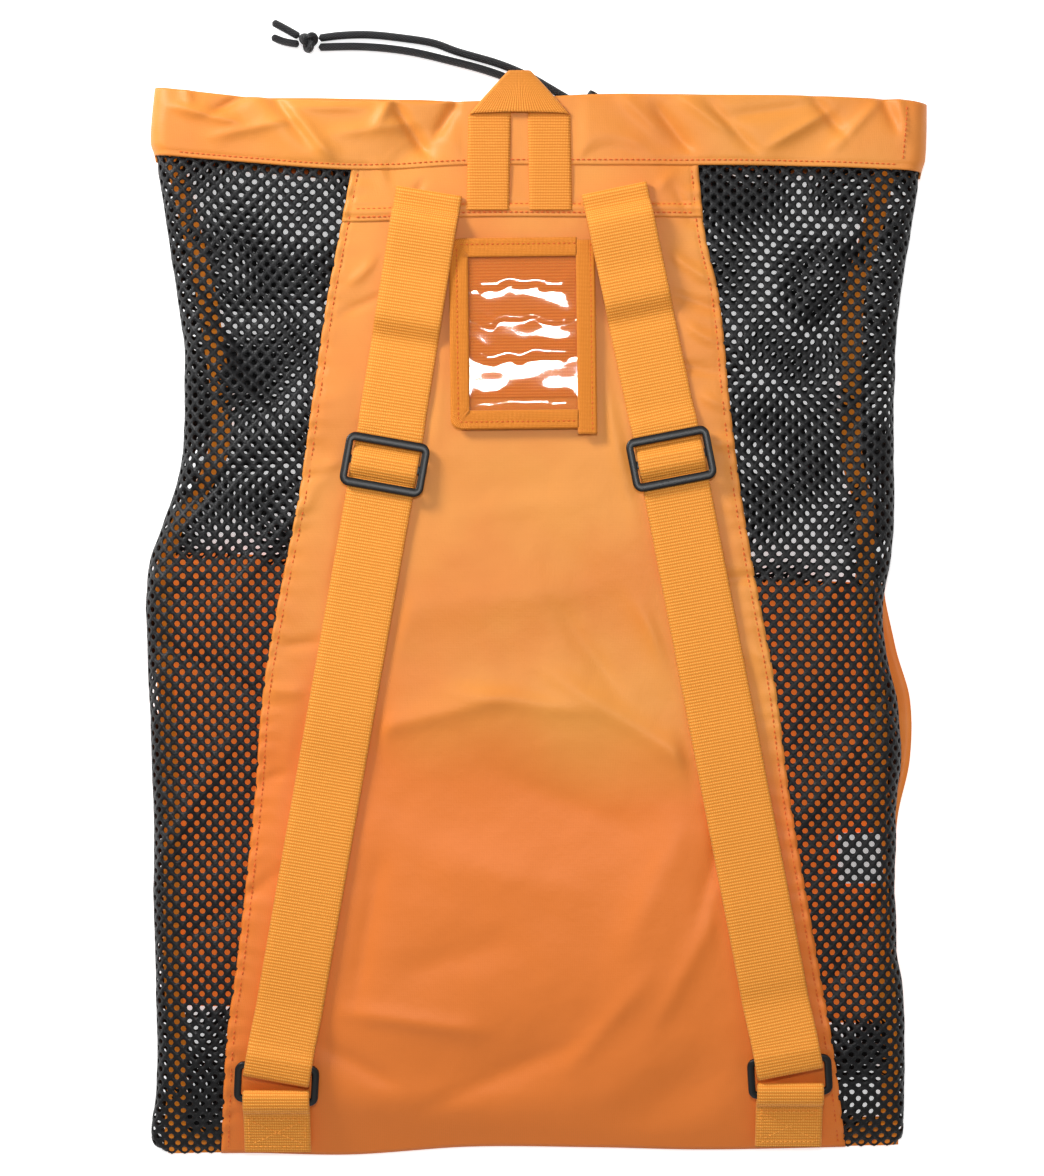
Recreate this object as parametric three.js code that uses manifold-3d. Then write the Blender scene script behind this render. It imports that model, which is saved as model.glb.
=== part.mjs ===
// Mesh backpack lying on its front, with its shoulder straps on top: a drawcord bag of open net
// with a woven cloth back panel, a cloth pocket on the front and webbing straps.
// Millimetres. +Y runs from the base seam to the mouth, +X to the right of somebody who looks
// down on the straps, +Z up. The origin is on the surface that the bag lies on, under its middle.
import * as THREE from "three";
import { mergeVertices } from "three/addons/utils/BufferGeometryUtils.js";
import Module from "manifold-3d";

const wasm = await Module();
wasm.setup();

// Driving dimensions of the bag
const bagWidth = 442; // between the side folds of the net, about where it is widest
const bagLength = 604; // from the base seam to the mouth
const bagDepth = 28; // how high the body stands as it lies empty
const clothWall = 1.2;
const netWall = 1.4;
const hemWall = 2; // two layers of cloth with the drawcord between them
const seamGap = 0.4; // between two pieces that are sewn together
const tapeGap = 0.7; // the same at the wandering tapes
const hemHeight = 41;
const yokeHeight = 28; // cloth strip between the hem and the strap seam
const edgeTape = 12; // woven tape over the front's side seams
const baseTape = 15; // cloth strip along the foot of the front

// Pocket on the front
const pocketFoot = 78; // its lower seam above the base seam, on the middle line
const pocketHeight = 257;
const pocketRoom = 6.4; // free height inside
const roomStart = 46; // distance over its foot where that room is whole
const roomEnd = 84; // distance past its top where the front is flat again
const pocketTopTilt = 0.046; // its mouth falls away to the right
const pocketFootTilt = 0.028;
const pocketBulge = 12.5; // how far its right side stands out past the tape

// Webbing and its hardware
const strapWidth = 38;
const strapWall = 1.5;
const handleWidth = 25;
const handleWall = 1.5;
const handleRise = 16.2; // peak of the handle past the mouth
const layerGap = 0.4; // between layers of webbing, and between webbing and a bar
const barWidth = 5;
const barHeight = 3;
const barSideClearance = 0.8; // webbing to side bar
const sliderLength = 31; // along the strap
const sliderBarHeight = 2; // its middle bar is thinner than its frame
const ringLength = 24;
const ringBarWidth = 4; // its two cross bars, hidden under the webbing

// Identity window on the back panel
const windowWidth = 83;
const windowHeight = 109;
const windowTape = 11;
const windowTapeWall = 1.2;
const backingWall = 1.2;
const filmWall = 0.6;
const windowPlace = { across: -0.035, up: 0.773, turn: -0.012 };

// Care label inside the bag, on the right
const labelWidth = 26;
const labelHeight = 29;
const labelWall = 0.5;
const labelPlace = { inset: 5, up: 0.279 };

// Drawcord
const cordDiameter = 4.5;
const cordSides = 8;
const lockLength = 17;
const lockWidth = 14;
const lockHeight = 9;
const slitLength = 9; // slit in the hem that each half of the cord comes out of

const halfWidth = bagWidth / 2;
const hemFoot = 1 - hemHeight / bagLength;
const yokeFoot = hemFoot - yokeHeight / bagLength;
const baseDepth = 2 * netWall + seamGap;

// Outline of the lying bag, seen from above. up: share of bagLength; the others: shares of half its width.
const outline = [
  { up: 0.0, left: 0.953, right: 0.932 },
  { up: 0.009, left: 0.994, right: 0.95 },
  { up: 0.026, left: 0.999, right: 0.953 },
  { up: 0.069, left: 0.983, right: 0.954 },
  { up: 0.158, left: 0.983, right: 0.947 },
  { up: 0.195, left: 0.988, right: 0.93 },
  { up: 0.317, left: 0.988, right: 0.929 },
  { up: 0.374, left: 0.994, right: 0.94 },
  { up: 0.43, left: 0.999, right: 0.932 },
  { up: 0.477, left: 1.006, right: 0.901 },
  { up: 0.524, left: 1.009, right: 0.896 },
  { up: 0.562, left: 0.999, right: 0.914 },
  { up: 0.59, left: 0.971, right: 0.922 },
  { up: 0.627, left: 0.935, right: 0.924 },
  { up: 0.665, left: 0.914, right: 0.924 },
  { up: 0.759, left: 0.912, right: 0.927 },
  { up: 0.815, left: 0.935, right: 0.942 },
  { up: 0.871, left: 0.958, right: 0.968 },
  { up: 0.932, left: 0.986, right: 0.994 },
  { up: 0.946, left: 0.996, right: 1.004 },
  { up: 1.0, left: 0.986, right: 1.009 },
];

// Edges of the cloth back panel, in the same shares
const panelEdges = [
  { up: 0.0, left: 0.819, right: 0.804 },
  { up: 0.115, left: 0.796, right: 0.758 },
  { up: 0.188, left: 0.768, right: 0.722 },
  { up: 0.338, left: 0.724, right: 0.651 },
  { up: 0.441, left: 0.701, right: 0.614 },
  { up: 0.538, left: 0.655, right: 0.565 },
  { up: 0.618, left: 0.612, right: 0.528 },
  { up: 0.712, left: 0.576, right: 0.496 },
  { up: 0.806, left: 0.54, right: 0.471 },
  { up: 0.866, left: 0.51, right: 0.435 },
  { up: 0.932, left: 0.477, right: 0.417 },
];

// Middle lines of the tapes over the front's side seams, which wander where the net is folded under
const tapeLines = [
  { up: 0.0, left: 0.94, right: 0.924 },
  { up: 0.111, left: 0.936, right: 0.922 },
  { up: 0.158, left: 0.948, right: 0.914 },
  { up: 0.289, left: 0.95, right: 0.895 },
  { up: 0.383, left: 0.96, right: 0.891 },
  { up: 0.477, left: 0.971, right: 0.879 },
  { up: 0.524, left: 0.972, right: 0.855 },
  { up: 0.562, left: 0.966, right: 0.859 },
  { up: 0.59, left: 0.945, right: 0.86 },
  { up: 0.613, left: 0.906, right: 0.857 },
  { up: 0.637, left: 0.86, right: 0.834 },
  { up: 0.665, left: 0.827, right: 0.82 },
  { up: 0.712, left: 0.819, right: 0.819 },
  { up: 0.759, left: 0.837, right: 0.822 },
  { up: 0.815, left: 0.863, right: 0.827 },
  { up: 0.871, left: 0.901, right: 0.868 },
  { up: 0.932, left: 0.945, right: 0.906 },
];

// How deep the lying bag is from its base to its mouth, as shares of bagDepth
const depths = [
  { up: 0.0, share: baseDepth / bagDepth },
  { up: 0.025, share: 0.34 },
  { up: 0.06, share: 0.58 },
  { up: 0.12, share: 0.81 },
  { up: 0.22, share: 0.95 },
  { up: 0.4, share: 1.0 },
  { up: 0.56, share: 0.99 },
  { up: 0.75, share: 0.87 },
  { up: 0.9, share: 0.74 },
  { up: 1.0, share: 0.67 },
];

// How far the base line, the hem's foot and the mouth stray from straight lines, as shares of hemHeight
const edgeLines = [
  { across: -1.0, base: -0.04, foot: 0.18, mouth: 0.13 },
  { across: -0.74, base: -0.03, foot: 0.06, mouth: -0.02 },
  { across: -0.48, base: -0.05, foot: -0.04, mouth: -0.07 },
  { across: -0.17, base: 0.06, foot: 0.03, mouth: -0.08 },
  { across: 0.16, base: 0.05, foot: 0.03, mouth: 0.02 },
  { across: 0.42, base: 0.02, foot: 0.03, mouth: 0.01 },
  { across: 0.68, base: 0.04, foot: 0.015, mouth: 0.0 },
  { across: 0.94, base: 0.08, foot: -0.04, mouth: -0.06 },
  { across: 1.01, base: 0.08, foot: -0.07, mouth: -0.11 },
];

const bottomY = 0.75 - (bagLength + handleRise) / 2 + 0.03 * hemHeight; // the mouth's line sags there

// Main folds of the upper wall. Places: shares of halfWidth and bagLength; turn: degrees from +X;
// long and wide: shares of halfWidth; deep: share of bagDepth, below zero for a valley.
const folds = [
  { across: -0.4, up: 0.05, turn: -12, long: 0.34, wide: 0.09, deep: 0.11 },
  { across: 0.02, up: 0.1, turn: 14, long: 0.4, wide: 0.1, deep: -0.1 },
  { across: 0.36, up: 0.055, turn: 38, long: 0.22, wide: 0.08, deep: -0.11 },
  { across: -0.1, up: 0.41, turn: -9, long: 0.42, wide: 0.12, deep: 0.08 },
  { across: -0.05, up: 0.33, turn: -6, long: 0.45, wide: 0.16, deep: -0.07 },
  { across: 0.16, up: 0.52, turn: -52, long: 0.3, wide: 0.08, deep: -0.07 },
  { across: -0.1, up: 0.62, turn: 4, long: 0.3, wide: 0.09, deep: -0.06 },
  { across: 0.32, up: 0.22, turn: 74, long: 0.3, wide: 0.1, deep: 0.08 },
  { across: -0.78, up: 0.79, turn: -62, long: 0.4, wide: 0.08, deep: -0.13 },
  { across: -0.7, up: 0.66, turn: 38, long: 0.3, wide: 0.07, deep: 0.1 },
  { across: -0.86, up: 0.55, turn: 20, long: 0.2, wide: 0.07, deep: -0.1 },
  { across: 0.72, up: 0.74, turn: 56, long: 0.36, wide: 0.08, deep: -0.11 },
  { across: 0.76, up: 0.5, turn: 64, long: 0.3, wide: 0.07, deep: 0.09 },
  { across: -0.8, up: 0.3, turn: 48, long: 0.34, wide: 0.08, deep: -0.09 },
  { across: 0.84, up: 0.24, turn: 58, long: 0.3, wide: 0.07, deep: -0.09 },
  { across: -0.62, up: 0.965, turn: -40, long: 0.16, wide: 0.06, deep: 0.12 },
  { across: -0.3, up: 0.965, turn: 42, long: 0.14, wide: 0.06, deep: -0.12 },
  { across: 0.3, up: 0.965, turn: -40, long: 0.15, wide: 0.06, deep: -0.11 },
  { across: 0.74, up: 0.965, turn: 34, long: 0.2, wide: 0.06, deep: -0.1 },
];

// Shoulder straps: where each is folded over, where its slider lies and where its ring lies
const straps = [
  {
    side: "left",
    fold: { across: -0.276, up: 0.909 },
    slider: { across: -0.389, up: 0.651 },
    ring: { across: -0.668, up: 0.0715 },
  },
  {
    side: "right",
    fold: { across: 0.199, up: 0.91 },
    slider: { across: 0.345, up: 0.656 },
    ring: { across: 0.651, up: 0.076 },
  },
];

// Routes of the two halves of the drawcord, from the eyelets to the knot: chosen by hand, in
// millimetres on the plan. The first stretch lies under the hem, the rest on the open surface.
const cordRoutes = {
  upper: [
    [43.0, 282.3], [35.5, 286.5], [28.0, 290.7], [17.2, 296.6], [6.2, 303.2],
    [-4.6, 309.4], [-22.0, 316.6], [-44.7, 323.2], [-59.4, 328.4], [-77.4, 331.3],
    [-95.5, 333.1], [-111.4, 332.8], [-125.2, 331.2],
  ],
  lower: [
    [40.6, 277.7], [33.0, 282.1], [25.3, 286.4], [13.2, 291.4], [2.6, 297.8],
    [-6.6, 303.6], [-17.9, 308.8], [-32.0, 313.6], [-48.7, 318.0], [-68.9, 322.8],
    [-85.9, 325.3], [-103.6, 326.4], [-125.2, 326.0],
  ],
};
const tailRoutes = {
  upper: [[-136.5, 332.2], [-144.6, 336.8], [-151.7, 340.5]],
  lower: [[-136.5, 327.4], [-144.8, 329.2], [-152.2, 332.0]],
};
const knotPlace = [-130.6, 329.0];
const knotSize = { long: 11, wide: 13, high: 9.6 };
const lockPlace = { x: 26.7, y: 288.6, turn: -0.507 };

const colours = {
  cloth: 0xef9240,
  webbing: 0xee8a1e,
  net: 0x17181a,
  plastic: 0x1b1b1c,
  film: 0xf6f3ee,
  label: 0xf1f1f1,
};

function material(color, roughness, more = {}) {
  return new THREE.MeshStandardMaterial({ color, roughness, metalness: 0, ...more });
}
const looks = {
  cloth: material(colours.cloth, 0.62, { side: THREE.DoubleSide }),
  webbing: material(colours.webbing, 0.78),
  net: material(colours.net, 0.7),
  plastic: material(colours.plastic, 0.42),
  film: material(colours.film, 0.1, { transparent: true, opacity: 0.35 }),
  label: material(colours.label, 0.55),
};

const mix = (a, b, t) => a + (b - a) * t;
const clamp = (v, low, high) => Math.min(high, Math.max(low, v));
const ease = (low, high, v) => {
  const t = clamp((v - low) / (high - low), 0, 1);
  return t * t * (3 - 2 * t);
};

// Smooth curve through one column of a table, read at a value of its key column
function along(rows, key, column, at) {
  const last = rows.length - 1;
  if (at <= rows[0][key]) return rows[0][column];
  if (at >= rows[last][key]) return rows[last][column];
  let i = 0;
  while (rows[i + 1][key] < at) i += 1;
  const slope = (j) => {
    const before = rows[Math.max(j - 1, 0)];
    const after = rows[Math.min(j + 1, last)];
    return (after[column] - before[column]) / (after[key] - before[key]);
  };
  const step = rows[i + 1][key] - rows[i][key];
  const t = (at - rows[i][key]) / step;
  const h = (1 - t) * (1 - t);
  return (
    h * (1 + 2 * t) * rows[i][column] +
    h * t * step * slope(i) +
    t * t * (3 - 2 * t) * rows[i + 1][column] +
    t * t * (t - 1) * step * slope(i + 1)
  );
}

const sideName = (side) => (side < 0 ? "left" : "right");
const edgeX = (side, up) => side * halfWidth * along(outline, "up", sideName(side), up);
const panelX = (side, up) => side * halfWidth * along(panelEdges, "up", sideName(side), up);
const tapeX = (side, up) => side * halfWidth * along(tapeLines, "up", sideName(side), up);

// Where the pocket's two cross seams run, as shares of bagLength
const pocketFootUp = (x) => (pocketFoot - x * pocketFootTilt) / bagLength;
const pocketTopUp = (x) => (pocketFoot + pocketHeight - x * pocketTopTilt) / bagLength;

// Y of a point of the cloth that lies at a share of the bag's length
function level(x, up) {
  const across = x / halfWidth;
  const shift = (column) => hemHeight * along(edgeLines, "across", column, across);
  const nearBase = clamp(1 - up / 0.15, 0, 1);
  const inHem = clamp((up - hemFoot) / (1 - hemFoot), 0, 1);
  const nearHem = up < hemFoot ? ease(0.6, hemFoot, up) : 1 - inHem;
  return (
    bottomY + up * bagLength +
    nearBase * shift("base") + nearHem * shift("foot") + inHem * shift("mouth")
  );
}

// Share of the pocket that a point lies in, 0 outside and 1 well inside
function inPocket(x, up, rampBelow, rampAbove) {
  const above = (up - pocketFootUp(x)) * bagLength;
  const past = (up - pocketTopUp(x)) * bagLength;
  return ease(-rampBelow, 2, above) * (1 - ease(0, rampAbove, past));
}

// The front wall lies on the surface, or on the pocket's outer wall where that is under it
const skirtRise = clothWall + seamGap + 0.1;
const base = (x, up) => skirtRise * inPocket(x, up, 26, 34);
const depth = (up) => bagDepth * along(depths, "up", "share", up);
const bend = (x, up) => (depth(up) - base(x, up)) / 2; // radius of the side folds

// Height that the pocket's room and the cord lock give the front wall over the surface
function lift(x, up) {
  const fromSeam = Math.min(x - tapeX(-1, up), tapeX(1, up) - x) - edgeTape / 2 - 1;
  const room = (pocketRoom - 0.1) * ease(0, 42, fromSeam);
  const open = ease(2, roomStart, (up - pocketFootUp(x)) * bagLength);
  const closing = 1 - ease(4, roomEnd, (up - pocketTopUp(x)) * bagLength);
  const dx = x - lockPlace.x;
  const dy = level(x, up) - lockPlace.y;
  const lockRise = lockHeight + 2.2;
  const tent = lockRise * Math.exp(-(dx * dx + dy * dy) / (2 * 26 * 26));
  return room * open * closing + tent;
}

// Height of the folds at a point of the upper wall
function crease(x, up) {
  const fromSide = Math.min(x - edgeX(-1, up), edgeX(1, up) - x) - bend(x, up);
  const calm = ease(0, 22, fromSide) * ease(0.0, 0.06, up);
  let sum = 0;
  for (const fold of folds) {
    const dx = x - fold.across * halfWidth;
    const dy = (up - fold.up) * bagLength;
    const angle = THREE.MathUtils.degToRad(fold.turn);
    const u = (dx * Math.cos(angle) + dy * Math.sin(angle)) / (fold.long * halfWidth);
    const v = (dy * Math.cos(angle) - dx * Math.sin(angle)) / (fold.wide * halfWidth);
    sum += fold.deep * bagDepth * Math.exp(-u * u - v * v);
  }
  return calm * sum;
}

// A point of the bag's skin by its distance round the side fold: run is measured along the cloth from
// the outermost line of that side, below zero on the upper wall and above zero on the lower one.
// sink is how deep under the outer face of the cloth it lies.
function skin(side, run, up, sink) {
  const edge = edgeX(side, up);
  const r = bend(edge, up);
  const quarter = (r * Math.PI) / 2;
  const turn = clamp(run / r, -Math.PI / 2, Math.PI / 2);
  const past = Math.max(Math.abs(run) - quarter, 0);
  const x = edge - side * (r - (r - sink) * Math.cos(turn) + past);
  const middle = base(edge, up) + r;
  const fold = run < 0 ? crease(x, up) : lift(x, up);
  return new THREE.Vector3(x, level(x, up), middle - (r - sink) * Math.sin(turn) + fold);
}

// The distance round the side fold of a place on the lower wall that lies inside from the outline
function runOf(side, inset, up) {
  const r = bend(edgeX(side, up), up);
  return inset < r ? r * Math.acos(1 - inset / r) : (r * Math.PI) / 2 + inset - r;
}
const tapeRun = (side, up) => {
  const run = runOf(side, Math.abs(edgeX(side, up) - tapeX(side, up)), up);
  // It never reaches the outermost line, nor the tight fold at the base
  return Math.max(run, edgeTape / 2 + Math.min(1.6 * bend(edgeX(side, up), up), 3));
};

// Height of the upper and the lower wall's outer face over a place on the plan
function wallHeights(x, up) {
  const side = x < (edgeX(-1, up) + edgeX(1, up)) / 2 ? -1 : 1;
  const inset = side * (edgeX(side, up) - x);
  const r = bend(x, up);
  const arc = inset < r ? r - Math.sqrt(Math.max(r * r - (r - inset) ** 2, 0)) : 0;
  return {
    top: depth(up) - arc + crease(x, up),
    low: base(x, up) + arc + lift(x, up),
  };
}
const topPoint = (x, up, sink) =>
  new THREE.Vector3(x, level(x, up), wallHeights(x, up).top - sink);
const lowPoint = (x, up, sink) =>
  new THREE.Vector3(x, level(x, up), wallHeights(x, up).low + sink);

// Inverse of level on the plan
function upAt(x, y) {
  let up = (y - bottomY) / bagLength;
  for (let i = 0; i < 4; i += 1) up += (y - level(x, up)) / bagLength;
  return up;
}
const topAt = (x, y) => wallHeights(x, clamp(upAt(x, y), 0, 1)).top;

// Closed solid from flat lists, turned so that its faces point out
function closed(points, index) {
  const geometry = new THREE.BufferGeometry();
  geometry.setAttribute("position", new THREE.Float32BufferAttribute(points.flatMap((p) => p.toArray()), 3));
  let volume = 0;
  for (let i = 0; i < index.length; i += 3) {
    const [a, b, c] = index.slice(i, i + 3).map((k) => points[k]);
    volume += a.dot(new THREE.Vector3().crossVectors(b, c));
  }
  if (volume < 0) for (let i = 0; i < index.length; i += 3) [index[i], index[i + 1]] = [index[i + 1], index[i]];
  geometry.setIndex(index);
  geometry.computeVertexNormals();
  return geometry;
}

// Sheet of cloth with a thickness. pointAt(a, b, face) gives its outer face at 0 and its inner face at 1.
// A ring runs right round and has no side edges.
function sheet(columns, rows, pointAt, ring = false) {
  const width = ring ? columns : columns + 1;
  const points = [];
  for (const face of [0, 1])
    for (let j = 0; j <= rows; j += 1)
      for (let i = 0; i < width; i += 1) points.push(pointAt(i / columns, j / rows, face));
  const layer = width * (rows + 1);
  const at = (i, j, face) => face * layer + j * width + (i % width);
  const index = [];
  const quad = (a, b, c, d) => index.push(a, b, c, a, c, d);
  for (let j = 0; j < rows; j += 1)
    for (let i = 0; i < columns; i += 1) {
      quad(at(i, j, 0), at(i + 1, j, 0), at(i + 1, j + 1, 0), at(i, j + 1, 0));
      quad(at(i, j, 1), at(i, j + 1, 1), at(i + 1, j + 1, 1), at(i + 1, j, 1));
    }
  for (let i = 0; i < columns; i += 1) {
    quad(at(i, 0, 1), at(i + 1, 0, 1), at(i + 1, 0, 0), at(i, 0, 0));
    quad(at(i, rows, 0), at(i + 1, rows, 0), at(i + 1, rows, 1), at(i, rows, 1));
  }
  for (let j = 0; j < rows && !ring; j += 1) {
    quad(at(0, j, 0), at(0, j + 1, 0), at(0, j + 1, 1), at(0, j, 1));
    quad(at(columns, j, 1), at(columns, j + 1, 1), at(columns, j + 1, 0), at(columns, j, 0));
  }
  return closed(points, index);
}

const backpack = new THREE.Group();
function add(name, geometry, look, parent = backpack) {
  const mesh = new THREE.Mesh(geometry, look);
  mesh.name = name;
  parent.add(mesh);
  return mesh;
}

// Spreads steps over stretches of different length: each row is where the stretch ends and its steps
function stops(start, stretches) {
  const list = [start];
  for (const { end, steps } of stretches) {
    const from = list[list.length - 1];
    for (let k = 1; k <= steps; k += 1) list.push(mix(from, end, k / steps));
  }
  return list;
}

// Rows of cells that all pieces between the base and the hem share: where each group ends and its steps
const rowGroups = [
  { end: () => baseTape / bagLength, steps: 1 },
  { end: pocketFootUp, steps: 4 },
  { end: pocketTopUp, steps: 10 },
  { end: () => yokeFoot, steps: 7 },
  { end: () => hemFoot, steps: 2 },
];
const firstRow = (group) => rowGroups.slice(0, group).reduce((sum, { steps }) => sum + steps, 0);
const lastRow = firstRow(rowGroups.length);

// Share of bagLength at a row where it meets the tape of one side
function sideUp(side, row) {
  let up = row / lastRow;
  for (let i = 0; i < 4; i += 1) {
    const x = tapeX(side, up);
    up = stops(0, rowGroups.map(({ end, steps }) => ({ end: end(x), steps })))[row];
  }
  return up;
}

// The same at a share of the way from the left tape to the right one, less half a seam at a piece's ends
const seamShare = seamGap / bagLength;
function rowUp(rows, b, a) {
  const row = Math.round(mix(rows[0], rows[1], b));
  const trim = b === 0 ? seamShare / 2 : b === 1 ? -seamShare / 2 : 0;
  return mix(sideUp(-1, row), sideUp(1, row), a) + trim;
}
const rowsOf = (from, to) => [firstRow(from), firstRow(to)];
const yokeGroup = rowGroups.length - 1;

// Cloth back panel and the yoke over it
function upperPiece(name, rows, columns) {
  const geometry = sheet(columns, rows[1] - rows[0], (a, b, face) => {
    const up = rowUp(rows, b, a);
    const x = mix(panelX(-1, up) + seamGap / 2, panelX(1, up) - seamGap / 2, a);
    return topPoint(x, up, face * clothWall);
  });
  add(name, geometry, looks.cloth);
}
upperPiece("back_panel", rowsOf(0, yokeGroup), 12);
upperPiece("yoke", rowsOf(yokeGroup, yokeGroup + 1), 9);

// Net on each side, from the back panel round the side fold to the tape on the front
const wholeSide = rowsOf(0, rowGroups.length);
for (const side of [-1, 1]) {
  const upperSteps = 4;
  const lowerSteps = 6;
  const columns = upperSteps + lowerSteps;
  const geometry = sheet(columns, lastRow, (a, b, face) => {
    const up = rowUp(wholeSide, b, side < 0 ? 0 : 1);
    const r = bend(edgeX(side, up), up);
    const quarter = (r * Math.PI) / 2;
    const toPanel = Math.abs(edgeX(side, up) - panelX(side, up)) - seamGap / 2;
    const list = stops(r - quarter - toPanel, [
      { end: -quarter, steps: upperSteps },
      { end: tapeRun(side, up) - edgeTape / 2 - tapeGap / 2, steps: lowerSteps },
    ]);
    return skin(side, list[Math.round(a * columns)], up, face * netWall);
  });
  add("net_" + sideName(side), geometry, looks.net);
}

// Tape over each side seam of the front
for (const side of [-1, 1]) {
  const geometry = sheet(2, lastRow, (a, b, face) => {
    const up = rowUp(wholeSide, b, side < 0 ? 0 : 1);
    const run = tapeRun(side, up) + mix(-edgeTape / 2, edgeTape / 2, a) + (0.5 - a) * tapeGap;
    return skin(side, run, up, face * clothWall);
  });
  add("side_tape_" + sideName(side), geometry, looks.cloth);
}

// Pieces of the front between the two tapes
const tapeInnerX = (side, up) => skin(side, tapeRun(side, up) + edgeTape / 2 + tapeGap / 2, up, 0).x;
function lowerPiece(name, rows, wall, look, columns) {
  const geometry = sheet(columns, rows[1] - rows[0], (a, b, face) => {
    const up = rowUp(rows, b, a);
    const x = mix(tapeInnerX(-1, up), tapeInnerX(1, up), a);
    return lowPoint(x, up, face * wall);
  });
  add(name, geometry, look);
}
lowerPiece("base_tape", rowsOf(0, 1), clothWall, looks.cloth, 12);
lowerPiece("front_net_lower", rowsOf(1, 2), netWall, looks.net, 12);
lowerPiece("pocket_back", rowsOf(2, 3), clothWall, looks.cloth, 12);
lowerPiece("front_net_upper", rowsOf(3, 5), netWall, looks.net, 12);

// Outer wall of the pocket. It lies under the front from tape to tape, and its right side stands out.
// height: share of the pocket's; out: share of pocketBulge.
const pocketSide = [
  { height: 0.0, out: 0.0 },
  { height: 0.1, out: 0.15 },
  { height: 0.45, out: 0.45 },
  { height: 0.6, out: 0.85 },
  { height: 0.75, out: 1.0 },
  { height: 0.88, out: 0.85 },
  { height: 1.0, out: 0.35 },
];
{
  // Places of the first columns by their distance from the tape's outer edge, and the share of the
  // bulge at each of them
  const sideColumns = [
    { run: 0, swell: 0 },
    { run: edgeTape / 2, swell: 0.8 },
    { run: edgeTape, swell: 1 },
    { run: edgeTape + 9, swell: 0.5 },
    { run: edgeTape + 20, swell: 0 },
  ];
  const sideSteps = sideColumns.length - 1;
  const columns = 16;
  const rows = rowsOf(2, 3);
  const onSide = (side, k, up, b, face) => {
    const { run: past, swell } = sideColumns[k];
    const run = tapeRun(side, up) - edgeTape / 2 + past;
    const on = skin(side, run, up, 0);
    const turn = clamp(run / bend(edgeX(side, up), up), 0, Math.PI / 2);
    const reach = side > 0 ? pocketBulge * along(pocketSide, "height", "out", b) : 0;
    const off = seamGap + 0.1 + (1 - face) * clothWall;
    const z = Math.max(on.z - Math.sin(turn) * off, face * clothWall);
    const flat = past > edgeTape + 1 || z < face * clothWall + 0.3;
    const out = Math.cos(turn) * off + reach * swell;
    return new THREE.Vector3(on.x + side * out, on.y, flat ? face * clothWall : z);
  };
  const geometry = sheet(columns, rows[1] - rows[0], (a, b, face) => {
    const column = Math.round(a * columns);
    if (column <= sideSteps) return onSide(-1, column, rowUp(rows, b, 0), b, face);
    if (column >= columns - sideSteps) return onSide(1, columns - column, rowUp(rows, b, 1), b, face);
    const share = (column - sideSteps) / (columns - 2 * sideSteps);
    const left = onSide(-1, sideSteps, rowUp(rows, b, 0), b, face);
    const right = onSide(1, sideSteps, rowUp(rows, b, 1), b, face);
    const x = mix(left.x, right.x, share);
    return new THREE.Vector3(x, level(x, rowUp(rows, b, share)), face * clothWall);
  });
  add("pocket_front", geometry, looks.cloth);
}

// Hem round the mouth: one strip of cloth, joined at the right side
const hemGeometry = (() => {
  const arcSteps = 3;
  const flatStops = {
    // The upper wall is walked from left to right, the lower one back again. end: share of the flat
    // stretch. The lower wall has short steps over the cord lock.
    upper: [{ end: 1, steps: 15 }],
    lower: [
      { end: 0.3, steps: 3 },
      { end: 0.62, steps: 8 },
      { end: 1, steps: 4 },
    ],
  };
  const flatSteps = 15;
  const half = flatSteps + 2 * arcSteps;
  const pointAt = (a, b, face) => {
    const up = mix(hemFoot + seamShare / 2, 1, b);
    const column = Math.round(a * 2 * half);
    const wall = column < half ? "upper" : "lower";
    const first = wall === "upper" ? -1 : 1;
    const k = column % half;
    const sink = face * hemWall;
    const spot = (side, steps) => {
      const run = ((bend(edgeX(side, up), up) * Math.PI) / 2) * (steps / arcSteps);
      return skin(side, wall === "upper" ? -run : run, up, sink);
    };
    if (k <= arcSteps) return spot(first, k);
    if (k >= half - arcSteps) return spot(-first, half - k);
    const from = edgeX(first, up) - first * bend(edgeX(first, up), up);
    const to = edgeX(-first, up) + first * bend(edgeX(-first, up), up);
    const x = mix(from, to, stops(0, flatStops[wall])[k - arcSteps]);
    return wall === "upper" ? topPoint(x, up, sink) : lowPoint(x, up, sink);
  };
  return sheet(2 * half, 3, pointAt, true);
})();

// Ribbon of webbing: one box section at each point of its path
function ribbon(path, width, wall) {
  const points = [];
  path.forEach((spot, i) => {
    const before = path[Math.max(i - 1, 0)].at;
    const after = path[Math.min(i + 1, path.length - 1)].at;
    const tangent = new THREE.Vector3().subVectors(after, before).normalize();
    const normal = new THREE.Vector3().crossVectors(spot.across, tangent).normalize();
    for (const [u, v] of [[-1, -1], [1, -1], [1, 1], [-1, 1]])
      points.push(
        spot.at.clone()
          .addScaledVector(spot.across, (u * width) / 2)
          .addScaledVector(normal, (v * wall) / 2),
      );
  });
  const index = [];
  const quad = (a, b, c, d) => index.push(a, b, c, a, c, d);
  for (let i = 0; i + 1 < path.length; i += 1)
    for (let k = 0; k < 4; k += 1)
      quad(4 * i + k, 4 * i + ((k + 1) % 4), 4 * i + 4 + ((k + 1) % 4), 4 * i + 4 + k);
  const end = 4 * (path.length - 1);
  quad(3, 2, 1, 0);
  quad(end, end + 1, end + 2, end + 3);
  return closed(points, index);
}

const plan = (place) => {
  const x = place.across * halfWidth;
  return new THREE.Vector2(x, level(x, place.up));
};

// Highest point under a piece as wide as width, with a little room round it
function carry(spot, heading, width, heightAt = topAt) {
  const across = new THREE.Vector2(heading.y, -heading.x);
  let top = -Infinity;
  for (const u of [-0.6, -0.5, -0.25, 0, 0.25, 0.5, 0.6])
    for (const v of [-7, 0, 7]) {
      const p = spot.clone().addScaledVector(across, u * width).addScaledVector(heading, v);
      top = Math.max(top, heightAt(p.x, p.y));
    }
  return top;
}

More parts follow.
